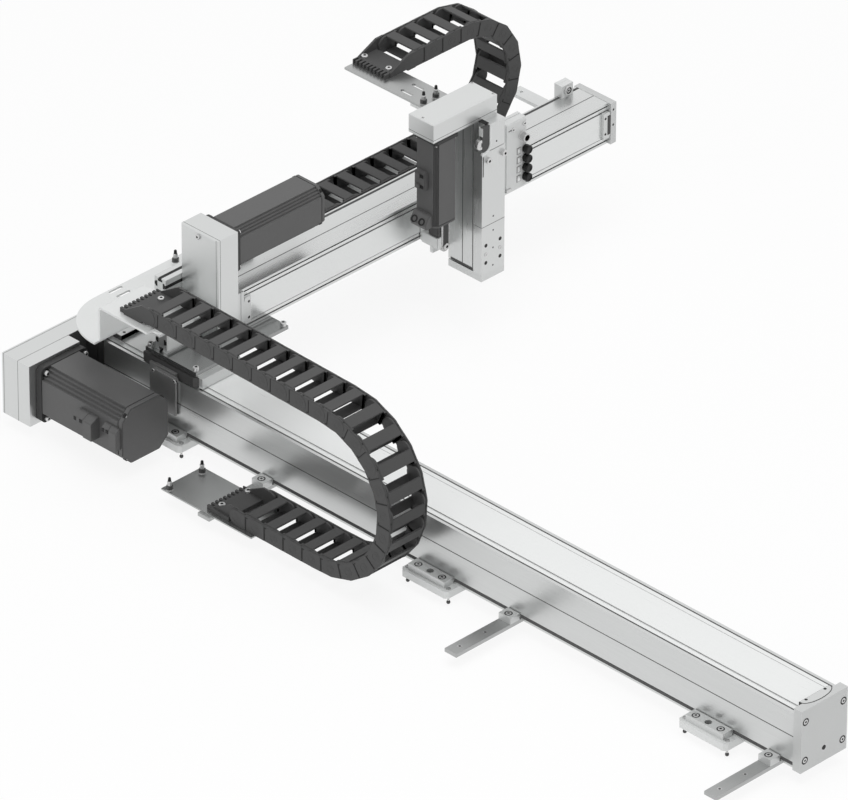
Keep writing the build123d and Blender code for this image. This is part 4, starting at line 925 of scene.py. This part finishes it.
def arm_details():
    """Strip clamps, strip edges, seam and end cap holes of the arm."""
    piece = Piece("y_arm_details")
    face = span("y_cover")[1].x
    low, high = span("y_profile")
    middle = (low.z + high.z) / 2
    strip_edge, top_slot, top_seam = 19.2, (4.7, 1.5), (32.7, 0.6)
    for z in (middle - strip_edge, middle + strip_edge):
        piece.box((face - 0.5, face + 0.1), (low.y, high.y), around(z, 0.3), shadow_line, 0.0)
    top = (high.z - 0.2, high.z + 0.06)
    for inset, half in (top_slot, top_seam):
        piece.box(around(low.x + inset, half), (low.y, high.y), top, shadow_line, 0.0)
    near, far = (corner.y for corner in span("y_strip_clamps"))
    clamp_face = span("y_strip_clamps")[1].x
    clamp_half, clamp_screw_z = 19.5, 11.5
    place = Matrix.Translation((0, 0, middle)) @ Matrix.Rotation(math.radians(90), 4, "Y")
    near_clamp = StripClamp(near + 13, near + 4, -5.0, -4.0)
    far_clamp = StripClamp(far - 13, far - 3, 5.0, 4.0)
    for free, root, bulge, screws in (near_clamp, far_clamp):
        outline = [(-v, u) for u, v in clamp_outline(free, root, bulge, clamp_half)]
        piece.prism(outline, "z", face - 0.2, clamp_face, anodised, 0.4, place)
        for z in (-clamp_screw_z, clamp_screw_z):
            add_hole(piece, (clamp_face, free + screws, middle + z), to_viewer_x, 1.7)
    strip_end = (clamp_face - 0.5, clamp_face + 0.6)
    piece.box(strip_end, (far - 5, far + 0.5), around(middle, 14), dark_metal, 0.3)
    low, high = span("y_end_cap")
    for z in (middle - 2.2, middle + 20.2):
        add_hole(piece, (high.x, low.y + 4.5, z), to_viewer_x, 1.6)
    piece.make("x_carriage", ["y_strip_clamps"])


# Tool unit
body_low, body_high = span("z_body")
table_low, table_high = span("z_table")
table_face = table_high.x
table_middle = (table_low.y + table_high.y) / 2


def guide(piece):
    """Curved recess painted dark as its shade, with its light rim, a knob and a slot above painted dark as
    its shade, at the body's near corner.
    """
    corner, face = body_low.y, table_face
    recess_top, rim_top = 299.0, 296.0
    bend_z = 272.0
    recess = [(corner - 0.3, 266.0)] + arc((corner + 5.0, bend_z), 8.0, 230, 360, 10)
    recess += [(corner + 13.0, recess_top), (corner - 0.3, recess_top)]
    piece.prism(recess, "x", face - 4.0, face + 0.15, dark_metal, 0.0)
    rim_middle, rim_outer, rim_inner = (corner + 3.0, bend_z), 13.5, 9.5
    rim = arc(rim_middle, rim_outer, 250, 360, 12) + [(corner + 16.5, rim_top), (corner + 12.5, rim_top + 1)]
    rim += arc(rim_middle, rim_inner, 360, 250, 12)
    piece.prism(rim, "x", face - 2.0, face + 1.2, sheet, 0.4)
    piece.box((face - 6.0, face + 0.3), (corner - 0.35, corner + 1.0), (286.0, recess_top), sheet, 0.3)
    knob = [(0, 7.2), (5.0, 7.2), (5.6, 6.4), (5.6, 3.0), (4.8, 3.0)]
    piece.lathe(knob, facing((face - 5.5, corner - 1.4, 275.0), to_viewer_x), bright_steel)
    piece.box((face - 26.0, face - 3.0), (corner + 8.0, corner + 15.0), around(body_high.z, 0.4), black, 0.3)


def body_details():
    """Grooves, guide, screws and lid seam of the tool unit's fixed part."""
    piece = Piece("z_body_details")
    side = body_low.y
    for x in (-405.0, -387.0):
        piece.box(around(x, 0.5), (side - 0.15, side + 0.3), (body_low.z, body_high.z), shadow_line, 0.0)
    guide(piece)
    add_hole(piece, (table_face, table_middle + 5.0, 270.4), to_viewer_x, 1.2)
    low, high = span("z_kit")
    screws = ((low.x + 21, low.y + 4), (low.x + 3.5, high.y - 4), (high.x - 3.5, high.y - 4))
    for x, y in screws:
        add_screw(piece, (x, y, high.z), up, 2.4, 0.5)
    proud, lid = 0.05, (low.z + 3.6, low.z + 4.2)
    piece.box((low.x - proud, high.x + proud), (low.y - proud, high.y + proud), lid, shadow_line, 0.0)
    piece.make("y_carriage")


def sensor_bracket():
    """Upright channel with a round eye at its foot, on a block and a dark bar."""
    piece = Piece("z_sensor_bracket")
    y, z, top = table_middle - 51.5, 126.0, 172.0
    back, face = -430.5, -404.0
    piece.box((back, -402.0), (y - 17.0, y - 9.0), (z + 2.0, z + 18.0), anodised, 0.8)
    piece.box((-420.0, -403.5), (y - 15.0, y - 10.0), (z + 18.0, top), dark_metal, 0.6)
    channel = arc((y, z), 8.0, 180, 360, 12) + [(y + 8.0, top), (y - 8.0, top)]
    piece.prism(channel, "x", back, face, steel, 0.6)
    # dark face of painted shade in the channel's slot
    slot = arc((y, z), 4.6, 180, 360, 12) + [(y + 4.6, top - 1), (y - 4.6, top - 1)]
    piece.prism(slot, "x", face - 0.2, face + 0.2, dark_metal, 0.0)
    eye = [(0, 4.6), (2.0, 4.6), (2.5, 4.0), (2.5, 2.0), (1.5, 2.0)]
    piece.lathe(eye, facing((face, y, z), to_viewer_x), bright_steel, black, 4)
    piece.make("y_carriage")


def table_details():
    """Screws, holes and seams of the tool slide, and painted shade in the recess where its yoke meets the
    body.
    """
    piece = Piece("z_table_details")
    face, middle = table_face, table_middle
    for y in (middle - 11.0, middle + 17.0):
        add_screw(piece, (face, y, 249.0), to_viewer_x, 4.4, 4.4)
    piece.box((face - 0.3, face + 0.12), (middle - 19.2, middle - 17.8), (227.0, 256.0), black, 0.0)
    for z in (142.0, 90.3, 162.6, 116.2):
        add_hole(piece, (face, middle, z), to_viewer_x, 1.1)
    bush = [(0, 2.8), (0.5, 2.8), (0.5, 1.8), (0.1, 1.8)]
    for y in (middle - 12.75, middle + 12.75):
        for z in (98.5, 124.0):
            add_hole(piece, (face, y, z), to_viewer_x, 2.6)
        piece.lathe(bush, facing((face, y, 111.0), to_viewer_x), bright_steel)
    piece.box((face - 14.0, face + 0.12), around(middle, 20.6), (152.3, 152.9), shadow_line, 0.0)
    yoke = span("z_yoke")[0]
    # dark band of painted shade in the recess where the yoke meets the body
    recess_shade_z = (table_low.z + 1.8, table_low.z + 5.4)
    piece.box((yoke.x + 4, table_low.x), (yoke.y - 0.3, yoke.y + 3.0), recess_shade_z, dark_metal, 0.4)
    piece.make("z_slider")


def port_details():
    """Round socket, knurled caps, tabs and small screws of the connector block."""
    piece = Piece("port_block_detailed")
    low, high = span("port_block")
    face = -418.0
    cap = [(0, 4.6), (1.5, 4.6), (1.5, 6.0), (8.0, 6.0), (9.0, 5.0), (9.0, 3.4), (8.4, 3.4)]
    socket = [(0, 6.0), (1.0, 6.0), (1.6, 5.2), (3.0, 5.2), (3.4, 6.0), (9.4, 6.0)]
    socket += [(10.0, 5.4), (10.0, 4.2), (3.5, 4.2)]
    first_cap, cap_spacing = 158.7, 13.6
    tab, tab_frame = (high.y - 17.0, high.y - 11.0), (high.y - 17.8, high.y - 10.4)
    piece.box((low.x, face), (low.y, high.y), (low.z, high.z), port_plastic, 1.0)
    for index in range(4):
        z = first_cap + cap_spacing * index
        piece.lathe(cap, facing((face, high.y - 3.0, z), to_viewer_x), black, segments=16)
        piece.box((face - 1, face + 0.6), tab, around(z, 4.2), strip_x, 0.4)
        piece.box((face - 1, face + 0.2), tab_frame, around(z, 4.9), pale_line, 0.0)
    piece.lathe(socket, facing((face, high.y - 9.0, high.z - 24.6), to_viewer_x), steel, black, 8)
    add_screw(piece, (face, low.y + 12.0, high.z - 10.0), to_viewer_x, 2.8, 1.4)
    add_screw(piece, (face, high.y - 4.5, high.z - 8.5), to_viewer_x, 3.0, 1.4)
    for y in (low.y + 5.0, low.y + 8.0):
        add_disc(piece, (face, y, high.z - 10.0), to_viewer_x, 0.9, 0.3, black)
    clip_z = (low.z + 1.0, low.z + 6.0)
    piece.box((face - 6, face + 1.5), (low.y - 0.5, low.y + 9.0), clip_z, bright_steel, 0.6)
    piece.make("y_carriage", ["port_block"])


base_end()
base_lines()
foot_details()
base_motor()
arm_motor()
tool_motor()
chains()
carriage_details()
slotted_profiles()
chain_sheet()
chain_tray()
kit_seams()
arm_details()
body_details()
sensor_bracket()
table_details()
port_details()

# Camera, at the photograph's angle
camera_azimuth = math.radians(44.87)
camera_elevation = math.radians(31.92)
camera_roll = math.radians(0.22)
camera_distance = 12.65
camera_target = Vector((0.12837, -0.19078, 0.38319))
camera_lens = 451.66
camera_reach = 60.0


def camera_axes():
    """Right, up and forward of the camera."""
    ca, sa = math.cos(camera_azimuth), math.sin(camera_azimuth)
    ce, se = math.cos(camera_elevation), math.sin(camera_elevation)
    right = Vector((ca, sa, 0))
    above = Vector((-sa * se, ca * se, ce))
    forward = Vector((-sa * ce, ca * ce, -se))
    cr, sr = math.cos(camera_roll), math.sin(camera_roll)
    return cr * right + sr * above, cr * above - sr * right, forward


def add_camera():
    right, above, forward = camera_axes()
    data = bpy.data.cameras.new("camera")
    data.lens = camera_lens
    data.clip_end = camera_reach
    item = bpy.data.objects.new("camera", data)
    turn = Matrix((right, above, -forward)).transposed()
    item.matrix_world = Matrix.Translation(camera_target - forward * camera_distance) @ turn.to_4x4()
    bpy.context.scene.collection.objects.link(item)
    bpy.context.scene.camera = item


# Stage: floor, world and lamps
floor_size = 40.0
floor_colour = (0.95, 0.95, 0.95, 1)
floor_roughness = 0.9
shadow_share = 0.12
world_light = 0.40
lamp_distance = 4.0

Lamp = namedtuple("Lamp", "name direction energy size")
lamps = (
    Lamp("top", (0.1, -0.1, 1.0), 114.0, 4.0),
    Lamp("front", (0.0, -1.0, 0.35), 24.0, 3.0),
    Lamp("side", (1.0, 0.1, 0.3), 9.0, 3.0),
)


def background_ray(tree):
    """1 for the rays that show the background: from the camera, from gloss and through glass."""
    path = tree.nodes.new("ShaderNodeLightPath")
    total = path.outputs["Is Camera Ray"]
    for kind in ("Is Glossy Ray", "Is Transmission Ray"):
        total = calculate(tree, "MAXIMUM", total, path.outputs[kind])
    return total


def add_floor():
    """Pale floor that shows white with a faint shadow."""
    low = cad_box[0][2]
    data = bpy.data.meshes.new("floor")
    half = floor_size / 2
    corners = [(-half, -half, low), (half, -half, low), (half, half, low), (-half, half, low)]
    data.from_pydata(corners, [], [(0, 1, 2, 3)])
    item = bpy.data.objects.new("floor", data)
    bpy.context.scene.collection.objects.link(item)
    material = bpy.data.materials.new("floor")
    material.use_nodes = True
    tree = material.node_tree
    shader = tree.nodes["Principled BSDF"]
    shader.inputs["Base Color"].default_value = floor_colour
    shader.inputs["Roughness"].default_value = floor_roughness
    shader.inputs["Specular IOR Level"].default_value = 0.0
    white = tree.nodes.new("ShaderNodeEmission")
    mixed = tree.nodes.new("ShaderNodeMixShader")
    link(tree, calculate(tree, "MULTIPLY", background_ray(tree), 1 - shadow_share), mixed.inputs["Fac"])
    link(tree, shader.outputs["BSDF"], mixed.inputs[1])
    link(tree, white.outputs["Emission"], mixed.inputs[2])
    link(tree, mixed.outputs["Shader"], tree.nodes["Material Output"].inputs["Surface"])
    item.data.materials.append(material)


def add_world():
    """Even light, white where the camera and the gloss look past the object."""
    world = bpy.data.worlds.new("studio")
    bpy.context.scene.world = world
    world.use_nodes = True
    tree = world.node_tree
    background = tree.nodes["Background"]
    background.inputs["Color"].default_value = (1, 1, 1, 1)
    strength = tree.nodes.new("ShaderNodeMapRange")
    strength.inputs["To Min"].default_value = world_light
    strength.inputs["To Max"].default_value = 1.0
    link(tree, background_ray(tree), strength.inputs["Value"])
    link(tree, strength.outputs["Result"], background.inputs["Strength"])


def add_lamp(lamp):
    """Square area lamp that looks at the middle of the object. Gloss shows the white world in its place."""
    data = bpy.data.lights.new(lamp.name, "AREA")
    data.energy = lamp.energy
    data.size = lamp.size
    item = bpy.data.objects.new(lamp.name, data)
    toward = Vector(lamp.direction).normalized()
    middle = (Vector(cad_box[0]) + Vector(cad_box[1])) / 2
    item.matrix_world = facing(middle + toward * lamp_distance, toward)
    item.visible_glossy = False
    bpy.context.scene.collection.objects.link(item)


bpy.context.scene.view_settings.view_transform = "Standard"
add_camera()
add_floor()
add_world()
for lamp in lamps:
    add_lamp(lamp)

bpy.context.view_layer.update()
